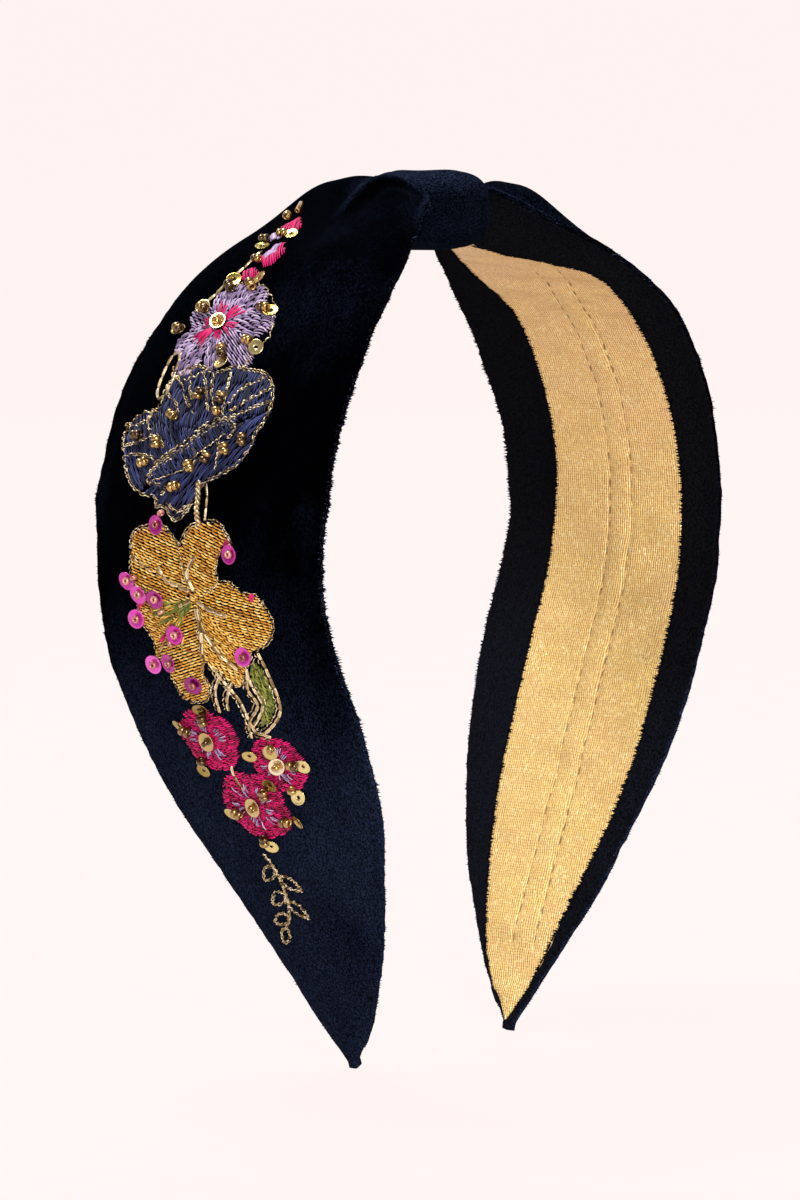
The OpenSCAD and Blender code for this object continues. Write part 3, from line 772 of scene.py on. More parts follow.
def tube(path, radius, up, sides=6):
    """Points and faces of a closed tube; radius is one number or one for each point."""
    path = np.asarray(path, float)
    radius = np.broadcast_to(np.asarray(radius, float), len(path))
    along = np.gradient(path, axis=0)
    along /= np.linalg.norm(along, axis=1, keepdims=True) + 1e-12
    across = np.cross(along, up)
    across /= np.linalg.norm(across, axis=1, keepdims=True) + 1e-12
    rise_dir = np.cross(across, along)
    turn = np.linspace(0, 2 * np.pi, sides, endpoint=False)
    ring = (across[:, None] * np.cos(turn)[None, :, None]
            + rise_dir[:, None] * np.sin(turn)[None, :, None])
    points = path[:, None] + ring * radius[:, None, None]
    faces = grid_faces(len(path), sides, around=True)
    faces += [tuple(range(sides))[::-1],
              tuple(range((len(path) - 1) * sides, len(path) * sides))]
    return points.reshape(-1, 3), faces


def make_stitches(side):
    """Two rows of sewing that hold the spring's casing."""
    rng = random.Random(f"stitch{side}")
    heap = Heap()
    for row in (-1, 1):
        s = 30.0
        while s < 168:
            run = np.linspace(s, s + STITCH + rng.uniform(-0.1, 0.1), 7)
            w = np.interp(run, *zip(*CASING_PATH)) + row * CASING_HALF
            dip = np.array([0.22, 0.05, 0, 0, 0, 0.05, 0.22])
            n = lining_low(run, w, side) + dip
            points, faces = tube(place(run, w, n, side), 0.1 * MM, away(run, side), 6)
            heap.add(points, faces, rng.random(), np.repeat(np.stack([run, w, n], -1), 6, 0))
            s += STITCH + STITCH_GAP
    blend_arm(heap.piece(ARMS[side] + "_stitching", GOLD_THREAD, "gold_thread",
                         ARMS[side] + "_casing_stitches"), side)


# --- Padding, spring and the knot -------------------------------------------------------
def make_padding(side):
    """The felt that gives an arm its body, between the velvet and the lining."""
    sections = []
    for s in np.arange(9.6, 172, 1.5):
        h = 0.84 * float(half_w(s))
        u = np.linspace(-1, 1, 33)
        w = u * h
        high = top_n(s, w, side) - VELVET_T - 0.25 - 0.5 * u ** 8
        low = -0.6 + (rise(s) - 0.1) * np.abs(u) ** 2.2
        high = np.maximum(high, low + 0.25)
        loop = np.column_stack([np.concatenate([w, w[::-1]]), np.concatenate([high, low[::-1]])])
        sections.append(np.column_stack([np.full(len(loop), s), loop]))
    pad = lofted(side, "padding", FELT, "interlining", sections, ARMS[side] + "_interlining")


# The spring strip's section, with rounded corners: (w from its middle, n)
STRIP = ((-2, -1.45), (-2, -0.95), (-1.85, -0.8), (1.85, -0.8), (2, -0.95), (2, -1.45),
         (1.85, -1.6), (-1.85, -1.6))


def make_spring(side, *nodes):
    """Half of the spring strip, from the knot to the cap on its end."""
    sections = []
    for s in np.arange(0, SPRING_END + 0.01, 1.5):
        middle = float(np.interp(s, *zip(*SPRING_PATH)))
        sections.append([(s, middle + w, n) for w, n in STRIP])
    lofted(side, "spring", STEEL, "spring_steel", sections, *nodes)


WRAP_HALF_Y, WRAP_LOW, WRAP_HIGH, WRAP_CORNER, WRAP_T = 8.5, 0.9, 14.2, 5.4, 1.1
WRAP_STEPS, WRAP_COLUMNS = 168, 48
WRAP_FOLD, WRAP_HEM = 0.55, 0.9         # the rounding of its ends, and where the inside stops
# The creases that wander round the wrap: x and depth
WRAP_CREASES = ((-4.4, 0.13), (3.9, 0.16))


def wrap_loop(count):
    """Places (y, z), outward directions and lengths round the wrap's rounded rectangle."""
    flat_y = 2 * (WRAP_HALF_Y - WRAP_CORNER)
    flat_z = WRAP_HIGH - WRAP_LOW - 2 * WRAP_CORNER
    quarter = WRAP_CORNER * math.pi / 2
    total = 2 * flat_y + 2 * flat_z + 4 * quarter
    ys, zs, ns = [], [], []
    for k in range(count):
        d = total * k / count
        y, z, turn = -flat_y / 2, WRAP_HIGH, 0.0
        for length, bend in ((flat_y, 0), (quarter, 1), (flat_z, 0), (quarter, 1)) * 2:
            go = min(d, length)
            if bend:
                cy = y - WRAP_CORNER * math.sin(turn)
                cz = z - WRAP_CORNER * math.cos(turn)
                turn += go / WRAP_CORNER
                y, z = cy + WRAP_CORNER * math.sin(turn), cz + WRAP_CORNER * math.cos(turn)
            else:
                y, z = y + go * math.cos(turn), z - go * math.sin(turn)
            d -= go
            if d <= 1e-9:
                break
        ys.append(y)
        zs.append(z)
        ns.append((math.sin(turn), math.cos(turn)))
    return np.array(ys), np.array(zs), np.array(ns), total


def barrel(x):
    """How far the wrap's face falls away towards its ends."""
    return 1.15 * np.abs((x - 0.3) / 9.2) ** 2.6


def make_wrap():
    """The loop of velvet round the gathered crown: a smooth barrel with folded ends."""
    count, fold = WRAP_STEPS, WRAP_FOLD
    ys, zs, outs, total = wrap_loop(count)
    wander, ripple = waves("crease", 30, 80, 5), waves("wrap", 7, 20, 8)
    rim = np.linspace(-np.pi / 2, np.pi / 2, 7)
    low_x, high_x = -WRAP_REACH[LEFT], WRAP_REACH[RIGHT]
    x_top = np.linspace(low_x + fold, high_x - fold, WRAP_COLUMNS)
    sections, arms = [], []
    for k in range(count):
        d, turn = k / count * total, 2 * np.pi * k / count
        full = 0.1 - barrel(x_top) + 0.09 * ripple(d, x_top)
        for j, (home, depth) in enumerate(WRAP_CREASES):
            run = home + 0.9 * wander(d + 40 * j) + 1.2 * math.sin(turn + 2 * j)
            full = full - depth * (0.6 + 0.4 * math.sin(2 * turn + j)) * np.exp(
                -((x_top - run) / 0.9) ** 2)
        right = [(high_x - fold * (1 - math.cos(t)), full[-1] - fold * (1 - math.sin(t)))
                 for t in rim[::-1]]
        left = [(low_x + fold * (1 - math.cos(t)), full[0] - fold * (1 - math.sin(t)))
                for t in rim]
        outer = list(zip(x_top, full))
        low = [(x, -WRAP_T - barrel(x))
               for x in np.linspace(high_x - WRAP_HEM, low_x + WRAP_HEM, 9)]
        loop = np.array(outer + right[1:] + low + left[:-1])
        y = ys[k] + outs[k, 0] * loop[:, 1]
        z = zs[k] + outs[k, 1] * loop[:, 1]
        sections.append(np.column_stack([loop[:, 0], y, z]) * MM)
        arms.append(np.column_stack([loop[:, 0], np.full(len(loop), d), loop[:, 1]]))
    columns = len(sections[0])
    points, arm = np.array(sections).reshape(-1, 3), np.array(arms).reshape(-1, 3)
    faces = [tuple(i % (count * columns) for i in f)
             for f in grid_faces(count + 1, columns, around=True)]
    # painted light in the tint: a painted sheen over the whole wrap and a painted highlight on its top,
    # strongest towards the left arm
    top = np.clip((points[:, 2] / MM - 9.8) / 3.0, 0, 1)
    tint = 0.5 + 0.5 * (0.36 + 0.64 * top * np.clip(0.85 - 0.07 * arm[:, 0], 0.2, 1))
    heap = Heap()
    heap.add(points, faces, tint, arm)
    wrap = heap.piece("wrap", VELVET, "velvet", "knot_wrap")
    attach(wrap, "crown")


CORE_HALF_X, CORE_HALF_Y, CORE_HALF_Z, CORE_Z, CORE_PLEATS = 7.4, 6.6, 5.0, 7.3, 14


def make_core():
    """The gathered velvet inside the wrap: a rounded block with pleats along it."""
    sections = []
    turn = np.linspace(0, 2 * np.pi, 96, endpoint=False)
    y_way, z_way = (np.sign(v) * np.abs(v) ** 0.7 for v in (np.cos(turn), np.sin(turn)))
    for x in np.linspace(-CORE_HALF_X, CORE_HALF_X, 25):
        size = (1 + 0.05 * np.cos(CORE_PLEATS * turn + 0.08 * x)) * (
            1 - 0.12 * (abs(x) / CORE_HALF_X) ** 6)
        sections.append(np.column_stack([np.full(len(turn), x), CORE_HALF_Y * y_way * size,
                                         CORE_Z + CORE_HALF_Z * z_way * size]))
    sections = np.array(sections)
    rows, columns = sections.shape[:2]
    faces = grid_faces(rows, columns, around=True)
    faces += [tuple(range(columns))[::-1], tuple(range((rows - 1) * columns, rows * columns))]
    heap = Heap()
    heap.add(sections.reshape(-1, 3) * MM, faces, 0.5, sections.reshape(-1, 3))
    core = heap.piece("gathered_core", VELVET, "velvet", "knot_gather")
    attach(core, "crown")


# --- Embroidery -------------------------------------------------------------------------
def on_velvet(path):
    """Path in (s, w, height over the velvet) to points in metres, and the way up."""
    s, w, h = path[:, 0], path[:, 1], path[:, 2]
    return place(s, w, top_n(s, w, LEFT) + h, LEFT), away(s, LEFT)


def lay_thread(heap, path, radius, tint, sides=5):
    """One thread along a path of (s, w, height over the velvet), radius in mm."""
    path = np.asarray(path, float)
    points, up = on_velvet(path)
    made, faces = tube(points, np.asarray(radius, float) * MM, up, sides)
    heap.add(made, faces, tint, np.repeat(path, sides, 0))


def crossings(outline, direction, offset):
    """Where the line at this offset, along direction, goes in and out of the outline."""
    d, q = direction, (-direction[1], direction[0])
    hits = []
    for (ax, ay), (bx, by) in zip(outline, outline[1:] + outline[:1]):
        fa, fb = ax * q[0] + ay * q[1] - offset, bx * q[0] + by * q[1] - offset
        if (fa < 0) != (fb < 0):
            t = fa / (fa - fb)
            x, y = ax + (bx - ax) * t, ay + (by - ay) * t
            hits.append(x * d[0] + y * d[1])
    return sorted(hits)


def hatch(outline, d, q, rng, pitch, first, uneven, spread):
    """Lines side by side across the outline: where each starts and stops, and its offset.
    d is the way they run and q is square to it."""
    offsets = [x * q[0] + y * q[1] for x, y in outline]
    offset = min(offsets) + pitch * first
    while offset < max(offsets):
        hits = crossings(outline, tuple(d), offset)
        for a, b in zip(hits[::2], hits[1::2]):
            yield (a + rng.uniform(-spread, spread * 0.4), b + rng.uniform(-spread * 0.4, spread),
                   offset)
        offset += pitch * rng.uniform(1 - uneven, 1 + uneven)


def axes_of(direction):
    """A unit direction on the velvet and the one square to it."""
    length = math.hypot(*direction)
    d = np.array([direction[0] / length, direction[1] / length])
    return d, np.array([-d[1], d[0]])


def satin(heap, outline, direction, rng, pitch, lift):
    """Fills the outline with side-by-side threads along direction, arched over it."""
    d, q = axes_of(direction)
    for a, b, offset in hatch(outline, d, q, rng, pitch, 0.5, 0.15, 0.22):
        if b - a < 0.5:
            continue
        t = np.linspace(0, 1, max(6, int((b - a) / 0.8) + 4))
        reach = a + (b - a) * t
        across = offset + rng.uniform(-0.08, 0.08) * np.sin(np.pi * t)
        low = lift * (0.7 + 0.3 * min(1.0, (b - a) / 4)) * rng.uniform(0.85, 1.1)
        h = low * (1 - np.abs(2 * t - 1) ** 3.2) - 0.06
        line = reach[:, None] * d + across[:, None] * q
        lay_thread(heap, np.column_stack([line, h]), rng.uniform(0.11, 0.145), rng.random())


def brick(heap, outline, direction, rng, pitch, stitch, lift, spread=0.25, radius=0.19):
    """Fills the outline with rows of short stitches, set out like brickwork."""
    d, q = axes_of(direction)
    t = np.linspace(0, 1, 6)
    for a, b, offset in hatch(outline, d, q, rng, pitch, 0.4, 0.1, spread):
        at = a - rng.uniform(0, stitch * 0.7)
        while at < b - 0.2:
            stop = at + stitch * rng.uniform(0.8, 1.2)
            low, high = max(at, a), min(stop, b)
            if high - low > 0.3:
                lean = rng.uniform(-0.07, 0.07) + 0.06
                across = offset + lean * (2 * t - 1)
                reach = low + (high - low) * t
                line = reach[:, None] * d + across[:, None] * q
                h = lift * rng.uniform(0.85, 1.15) * np.sin(np.pi * t) ** 0.55 - 0.08
                thick = radius * rng.uniform(0.85, 1.08) * (0.62 + 0.38 * np.sin(np.pi * t))
                lay_thread(heap, np.column_stack([line, h]), thick, rng.random())
            at = stop - 0.05


def distances(line):
    """How far along the line each of its points is."""
    return np.concatenate([[0], np.cumsum(np.linalg.norm(np.diff(line, axis=0), axis=1))])


def smooth_path(points, step=0.25):
    """A curve through the points (Catmull-Rom), sampled about every step."""
    p = np.array(points, float)
    if len(p) == 2:
        p = np.array([p[0], (p[0] + p[1]) / 2, p[1]])
    p = np.vstack([2 * p[0] - p[1], p, 2 * p[-1] - p[-2]])
    made = []
    for a, b, c, d in zip(p, p[1:], p[2:], p[3:]):
        t = np.linspace(0, 1, max(2, int(np.linalg.norm(c - b) / step) + 1))[:-1, None]
        made.append(0.5 * (2 * b + (c - a) * t + (2 * a - 5 * b + 4 * c - d) * t ** 2
                           + (3 * b - a - 3 * c + d) * t ** 3))
    return np.vstack(made + [p[-2]])


def twisted_cord(heap, points, rng, height, thick, pitch):
    """Two plies of gold thread twisted round each other, with their ends sewn in."""
    line = smooth_path(points, 0.11)
    run = distances(line)
    phase, total = rng.uniform(0, TURN), run[-1]
    h = height - (height + 0.1) * (np.exp(-run / 0.35) + np.exp(-(total - run) / 0.35))
    across = sideways(line)
    for ply in (0, 1):
        turn = 2 * np.pi * run / pitch + phase + ply * np.pi
        path = np.column_stack([line + across * (thick * 0.95 * np.cos(turn))[:, None],
                                h + thick * 0.95 * np.sin(turn)])
        lay_thread(heap, path, thick, 0.35 + 0.3 * ply + rng.uniform(-0.15, 0.15), 5)


def chain_line(heap, points, rng, height=0.3, link=0.72, thick=0.1, swing=0.15, skip=0.08):
    """A line of short gold stitches that slant one way and then the other."""
    line = smooth_path(points, 0.1)
    run = distances(line)
    across = sideways(line)
    at, flip = 0.0, 1
    while at < run[-1] - link * 0.4:
        t = np.linspace(at, min(at + link * rng.uniform(0.8, 1.15), run[-1]), 6)
        u = (t - t[0]) / (t[-1] - t[0] + 1e-9)
        x = np.interp(t, run, line[:, 0]), np.interp(t, run, line[:, 1])
        a = np.interp(t, run, across[:, 0]), np.interp(t, run, across[:, 1])
        slide = flip * swing * (1 - 2 * u) + rng.uniform(-0.05, 0.05)
        path = np.column_stack([x[0] + a[0] * slide, x[1] + a[1] * slide,
                                height - 0.25 + 0.32 * np.sin(np.pi * u) ** 0.7])
        if rng.random() > skip:
            lay_thread(heap, path, thick * rng.uniform(0.85, 1.2), rng.random())
        at += link * rng.uniform(0.92, 1.3)
        flip = -flip


def purl_line(heap, points, rng, height=0.3, thick=0.3, link=1.8):
    """Flattened gold wire laid along a line and caught down every link."""
    line = smooth_path(points, 0.1)
    run = distances(line)
    at = 0.0
    while at < run[-1] - 0.3:
        stop = min(at + link * rng.uniform(0.8, 1.2), run[-1])
        t, u = np.linspace(at, stop, 9), np.linspace(0, 1, 9)
        swell = 0.55 + 0.45 * np.sin(np.pi * u) ** 0.35
        for shift in (-0.5, 0.5):
            path = np.column_stack([np.interp(t, run, line[:, 0]), np.interp(t, run, line[:, 1]),
                                    height - 0.24 * (1 - swell)])
            path[:, :2] += sideways(path[:, :2]) * (shift * thick * swell)[:, None]
            lay_thread(heap, path, thick * 0.56 * swell, rng.random(), 7)
        at = stop + 0.04


# The lilac flower: its heart, and each petal's tip and half width
LILAC_AT = (50.5, 4.5)
LILAC_PETALS = [
    ((44.8, 6.2), 2.3), ((44, 1.9), 2.3), ((45, -2.5), 2.5), ((50, -6.3), 2.7), ((57, -4.3), 2.6),
    ((58, 2.5), 2.3), ((59.2, 9.3), 2.5), ((54.8, 12.2), 2.3), ((48.5, 11.4), 2.4)
]
# The stitches round its heart: direction, reach, how many
LILAC_HEART = (
    (-2.3, 4.6, 6), (-1.3, 3.6, 6), (0.75, 4.6, 8), (1.65, 3.6, 5), (2.9, 3.6, 5), (-0.4, 3.2, 4)
)


def petal_outline(heart, tip, half, root=1.2):
    """A petal from near the heart to its rounded tip."""
    h, t = np.array(heart), np.array(tip)
    length = np.linalg.norm(t - h)
    d, q = axes_of(t - h)
    shape = [(root / length, 0.25), (0.35, 0.62), (0.6, 0.95), (0.8, 1.0), (0.93, 0.72), (1, 0.3)]
    left = [h + d * length * a + q * half * b for a, b in shape]
    right = [h + d * length * a - q * half * b for a, b in shape[::-1]]
    return [tuple(p) for p in left + right], tuple(d)


def make_lilac(heaps, rng):
    """A lilac flower of short stitches, with a magenta ring round its heart."""
    for tip, half in LILAC_PETALS:
        outline, d = petal_outline(LILAC_AT, tip, half * 0.86)
        brick(heaps["lilac"], outline, d, rng, pitch=0.4, stitch=2.0, lift=0.46, spread=0.3,
              radius=0.16)
    for turn, reach, count in LILAC_HEART:
        for k in range(count):
            lean = turn + 0.55 * (k / (count - 1) - 0.5) + rng.uniform(-0.05, 0.05)
            d = np.array([math.cos(lean), math.sin(lean)])
            t = np.linspace(0, 1, 8)
            r = 1.3 + (reach * rng.uniform(0.75, 1.1) - 1.3) * t
            path = np.column_stack([LILAC_AT[0] + d[0] * r, LILAC_AT[1] + d[1] * r,
                                    0.42 + 0.22 * np.sin(np.pi * t)])
            lay_thread(heaps["magenta"], path, 0.13, rng.random())
    for line in ([(44.2, -1.8), (47.2, -5.2), (49.8, -6.1), (51.2, -6.7), (53.2, -6.2), (55.2, -4.5),
                  (57.5, -3.7)],
                 [(58.2, 3.4), (59.8, 7.4), (59.2, 10.6), (57.2, 10.9)],
                 [(44.2, 4.2), (43.5, 1.1), (44.2, -1.5)]):
        chain_line(heaps["cord"], line, rng, 0.34, 0.8, 0.12, 0.2)


BLOOM_UPPER = [
    (64.5, 11.9), (62.5, 11.8), (60.2, 11), (59, 9.2), (58, 7.6), (57.5, 5.1), (58.5, 1.7),
    (57.5, -1.8), (57.8, -4.6), (58.2, -8.1), (60.2, -10.6), (62.8, -11.5), (64.8, -9.9),
    (66, -5.6), (66.2, -1.5), (67.8, 1.7), (67.5, 6.6)
]
BLOOM_LEFT = [
    (64.5, 11.9), (65, 15.4), (67, 17.4), (69, 18.4), (72.5, 17.3), (76, 15.5), (78, 13),
    (76, 11.7), (73.5, 9.9), (72, 7.9), (70, 4.4), (68, 2.1), (67.2, 6.6)
]
BLOOM_BAND = [
    (76, 11.6), (73.5, 9.9), (72, 7.9), (70, 4.4), (68, 1.7), (66.2, -1.5), (65.8, -5.4),
    (66.8, -5.9), (68.5, -3.7), (70, -1.6), (72, 1.6), (74, 3.6), (75, 6.6), (76.6, 10)
]
BLOOM_LOW = [
    (66.5, -5.9), (64.5, -10.5), (64.2, -11.4), (66.2, -10.8), (68, -9.7), (70, -9.2), (73, -7.1),
    (75, -3.5), (76, -1), (79, 1), (80.5, 2), (82, 4.5), (80, 7), (80, 9), (78.5, 9.5), (78, 12),
    (76.4, 10.4), (75, 6.6), (74, 3.6), (72, 1.6), (70, -1.6), (68.5, -3.7)
]
BLOOM_RIM = BLOOM_UPPER[:12] + BLOOM_LOW[2:15] + BLOOM_LEFT[6::-1]
BLOOM_VEINS = [
    [(61.8, 11.1), (63.5, 8.3), (65.8, 6.6)], [(59, 9.2), (61.8, 7.1), (65.8, 3.5)],
    [(58.5, 6.7), (61.2, 6), (63.2, 4.5)], [(58.5, 4.2), (61.2, 2.4), (65.2, 0.5)],
    [(59, 1.8), (61.8, 0.9), (65.2, -0.5)], [(58.5, -1.7), (61.8, -2.1), (65.8, -2.5)],
    [(59.2, -8.5), (61.2, -5), (63.8, -3.1)], [(60.8, -10.6), (62.8, -7), (65.2, -3.5)],
    [(62.8, -11.5), (64.2, -8), (66.2, -3.4)], [(67, 18.5), (67, 14.8), (65.5, 12.8)],
    [(70.5, 17.3), (70, 14.2), (68.8, 10.6), (71, 8.3)], [(72, 17.3), (72, 12.7), (72.5, 9.8)],
    [(65, 12.9), (67.5, 12.8), (70.5, 8.2)], [(76, 10.6), (77, 7), (78, 8)],
    [(79, 6.5), (80.5, 4), (79, 1.5)], [(70.5, 2.5), (72, 1.6), (74, 1.6)],
    [(66.8, -5.4), (68.5, -5.2), (69, -4.2)], [(69.5, -2.6), (71.5, -3), (74, -2.5)]
]
BAND_EDGES = [BLOOM_BAND[:7], BLOOM_BAND[7:13] + [(76, 10.1)]]


def beside(points, shift):
    """The line moved sideways."""
    line = smooth_path(points, 0.5)
    return line + sideways(line) * shift


def make_bloom(heaps, rng):
    """The navy blossom, its raised fold, gold outlines and short stem."""
    for outline, direction in ((BLOOM_UPPER, (1, 0.1)), (BLOOM_LEFT, (0.8, -0.6)),
                               (BLOOM_LOW, (0.8, 0.55))):
        brick(heaps["navy"], outline, direction, rng, 0.34, 4.2, 0.4, 0.25, 0.14)
    brick(heaps["band"], BLOOM_BAND, (0.75, -0.66), rng, 0.38, 5.0, 0.8, 0.2, 0.155)
    for shift in (0, 0.36):
        chain_line(heaps["cord"], beside(BLOOM_RIM, shift), rng, 0.44, 0.72, 0.095, 0.08, 0.12)
    for shift in (0.0, 0.34, 0.68, 1.1):
        chain_line(heaps["cord"], beside(BAND_EDGES[0], shift), rng, 0.84 - 0.15 * shift, 0.72,
                   0.09, 0.1, 0.12)
    chain_line(heaps["cord"], BAND_EDGES[1], rng, 0.84, 0.72, 0.09, 0.1, 0.1)
    for line in BLOOM_VEINS:
        for shift in (-0.15, 0.17):
            chain_line(heaps["cord"], beside(line, shift), rng, 0.62, 0.7, 0.085, 0.08, 0.16)
    twisted_cord(heaps["cord"], [(75.6, 0.5), (78, 0), (80, 0), (82.6, -0.5)], rng, 0.45, 0.26,
                 1.5)
    purl_line(heaps["cord"], [(76, -1.2), (78, -1.7), (80, -1.7), (81.6, -1.6)], rng, 0.3, 0.22)


LILY_AT = (94.0, 1.0)
LILY_RIM = [
    (87.5, 14), (85, 14), (83.5, 12.5), (83, 10), (83, 7), (84, 5.5), (85.5, 4), (86.4, 3.5),
    (85, 3), (83, 1.5), (82, -1), (82, -4), (84, -6), (85, -6.5), (85.5, -5), (87, -4), (89, -3.5),
    (91, -4), (91, -6), (92.5, -9), (93, -11.5), (94.5, -12.5), (97, -13.5), (99.5, -12.5),
    (101, -10.5), (102, -8), (103.5, -7), (106.5, -5.5), (108, -4), (107, -2.5), (105, 0),
    (103.5, 1.5), (106, 3), (108.5, 2.5), (111, 4), (111.5, 6.5), (111, 8.5), (108, 9.5),
    (105.5, 10.5), (104, 12), (101.5, 11.5), (99.5, 12.5), (97.5, 14), (95, 13.5), (92, 14),
    (90, 14.5)
]
LILY_PETALS = [
    (0, 8, (0.26, -0.97)), (7, 17, (0.34, -0.94)), (16, 26, (0.2, -0.98)), (25, 32, (0.55, -0.83)),
    (31, 41, (0.3, 0.95)), (40, 47, (0.26, -0.97))
]
STAMENS = [
    [(92.5, 2), (91.5, 5), (91, 6.5), (89, 8)], [(92.5, 1), (90, 2), (88, 1), (87, 0)],
    [(94, 0.5), (95, -1.5), (95.5, -3.5), (96, -5.5)],
    [(95, 0.5), (98, 0), (101, -1.5), (103, -3), (105, -5)], [(95, 1), (99, 0.5), (103, 1.5)],
    [(94, 2), (95, 4.5)]
]
THROAT = (0.45, 1.55)       # the directions its green stitches fan out between
LILY_FOLDS = [
    (86.4, 3.5), (91.5, 2.2), (91, -4), (93, -1.5), (103.5, 1.5), (97.5, 1.0), (104, 12),
    (98.5, 6.5), (87.5, 13.8), (90.5, 8.0), (92, 14), (93.5, 9.5)
]


def tuft(heap, start, end, rng, strands=3, spread=0.22, height=0.45, radius=0.15):
    """A few long stitches side by side."""
    a, b = np.array(start, float), np.array(end, float)
    d = (b - a) / (np.linalg.norm(b - a) + 1e-9)
    q = np.array([-d[1], d[0]])
    for k in range(strands):
        shift = (k - (strands - 1) / 2) * spread
        t = np.linspace(0, 1, 9)
        line = a + (b - a) * t[:, None] + q * shift + d * rng.uniform(-0.3, 0.3)
        lay_thread(heap, np.column_stack([line, height - 0.15 + 0.2 * np.sin(np.pi * t)]),
                   radius, rng.random())


def make_lily(heaps, rng):
    """The golden lily, its green throat, stamens and outline."""
    count = len(LILY_RIM)
    for first, last, direction in LILY_PETALS:
        outline = [LILY_RIM[i % count] for i in range(first, last)] + [LILY_AT]
        brick(heaps["yellow"], outline, direction, rng, pitch=0.45, stitch=1.3, lift=0.46,
              spread=0.2, radius=0.165)
    for _ in range(110):
        turn, far = rng.uniform(THROAT[0], THROAT[1]), 7.6 * rng.random() ** 0.8
        d = np.array([math.cos(turn), math.sin(turn)])
        start = np.array(LILY_AT) + d * (0.4 + far) + (0, 0.6)
        key = "green" if rng.random() < 0.95 - 0.06 * far else "yellow"
        tuft(heaps[key], start, start + d * rng.uniform(1.2, 2.0), rng, 1, 0, 0.64, 0.125)
    for line in STAMENS:
        purl_line(heaps["cord"], line, rng, 0.66, 0.34, 1.9)
    for start, end in zip(LILY_FOLDS[::2], LILY_FOLDS[1::2]):
        for shift in (-0.15, 0.15):
            chain_line(heaps["cord"], beside([start, end], shift), rng, 0.62, 0.74, 0.08, 0.06)
    for shift in (0.0, -0.36):
        chain_line(heaps["cord"], beside(LILY_RIM + LILY_RIM[:1], shift), rng, 0.32, 0.72, 0.09,
                   0.08, 0.1)
    for start, end in (((100.2, 8.8), (101, 10)), ((94.6, 12.4), (95.6, 13.4)),
                       ((98.2, 6.8), (99.2, 7.2)), ((84.6, -6.2), (85.6, -5.6)),
                       ((92.6, -10.8), (93.6, -10.4))):
        tuft(heaps["magenta"], start, end, rng, 3, 0.24, 0.62)


LEAF = [
    (103.5, -8), (105, -9.6), (108, -10.2), (110, -10.2), (113, -9.2), (115, -7.2), (115.5, -5.5),
    (113, -6.8), (110, -7.6), (107.5, -7.2), (105.5, -7)
]
LEAF_LINES = [
    [(102, -9.5), (105, -10.5), (109, -11), (112.5, -10.5), (115, -8.5), (117, -5.5), (116, -4),
     (113.5, -6.2), (111, -7.6), (107.5, -6.6), (104.5, -6.6), (102.6, -8.2)],
    [(108, -1.5), (110.5, -3), (113.5, -3.5), (116.5, -4), (117, -5.5)],
    [(106.5, -0.5), (109.5, 1.5), (113.5, 2)], [(107.2, -3), (110.5, -0.6), (113, 0)],
    [(105.5, -6.5), (108.5, -5.6), (111.5, -6.5), (115, -3.5), (118, -3)],
    [(117, -5.5), (117.6, -7.2)], [(104.4, 0.6), (106.5, -0.5), (108, -1.5)]
]


def make_leaf(heaps, rng):
    """The leaf below the lily, with its gold outline and the lily's stem."""
    brick(heaps["green"], LEAF, (1, -0.5), rng, pitch=0.34, stitch=1.6, lift=0.4)
    for line in LEAF_LINES:
        purl_line(heaps["cord"], line, rng, 0.3, 0.3, 1.6)
        chain_line(heaps["cord"], beside(line, 0.7), rng, 0.34, 0.8, 0.1, 0.1, 0.1)


FLOWERS = [((119.0, 6.4), 6.2, 5, 0.5), ((122.6, -7.0), 5.3, 5, 1.1), ((131.2, 1.2), 6.9, 5, 0.2)]


def make_small_flowers(heaps, rng):
    """Three magenta flowers with lilac stitches round their hearts."""
    for (s0, w0), radius, petals, turn in FLOWERS:
        for k in range(petals):
            angle = turn + 2 * math.pi * k / petals
            far = radius * rng.uniform(0.93, 1.06)
            tip = (s0 + far * math.cos(angle), w0 + far * math.sin(angle))
            outline, d = petal_outline((s0, w0), tip, radius * 0.5, 0.6)
            brick(heaps["magenta"], outline, (0.2, 1), rng, pitch=0.32, stitch=1.9, lift=0.44,
                  spread=0.3, radius=0.15)
            for _ in range(8):
                lean, far = angle + rng.uniform(-0.4, 0.4), radius * rng.uniform(0.28, 0.5)
                d = np.array([math.cos(lean), math.sin(lean)])
                start = np.array([s0, w0]) + d * far
                tuft(heaps["hearts"], start, start + d * rng.uniform(0.8, 1.5), rng, 1, 0.2,
                     0.62, 0.1)
    purl_line(heaps["cord"], [(123.5, 3), (125, 3.2), (127, 2.8), (128.5, 2)], rng, 0.4, 0.26)


TRAIL = [
    [(26.5, 3.8), (29.8, 0.9), (32.2, 0.9), (32.8, 2.4), (32.2, 4), (29.8, 4.7)],
    [(35, 0.3), (37.5, -1.7), (40.2, -1.2), (41, 0.3), (39.2, 2.1), (36.8, 1.6)],
    [(41.5, 4.1), (41, 2.2), (42.5, -0.1), (43.5, 2), (43, 3.7)]
]


BUD_STEM = [(37.5, 3), (40, 3.7), (42, 5), (43.5, 6.4), (45.5, 8), (46.8, 9.4)]
LEAF_LOOP = [
    (55, 10.5), (55.8, 12), (58, 12.7), (61.2, 13.2), (62.8, 12.5), (61.8, 11), (59, 10.4),
    (56.8, 10.2), (55, 10.5)
]


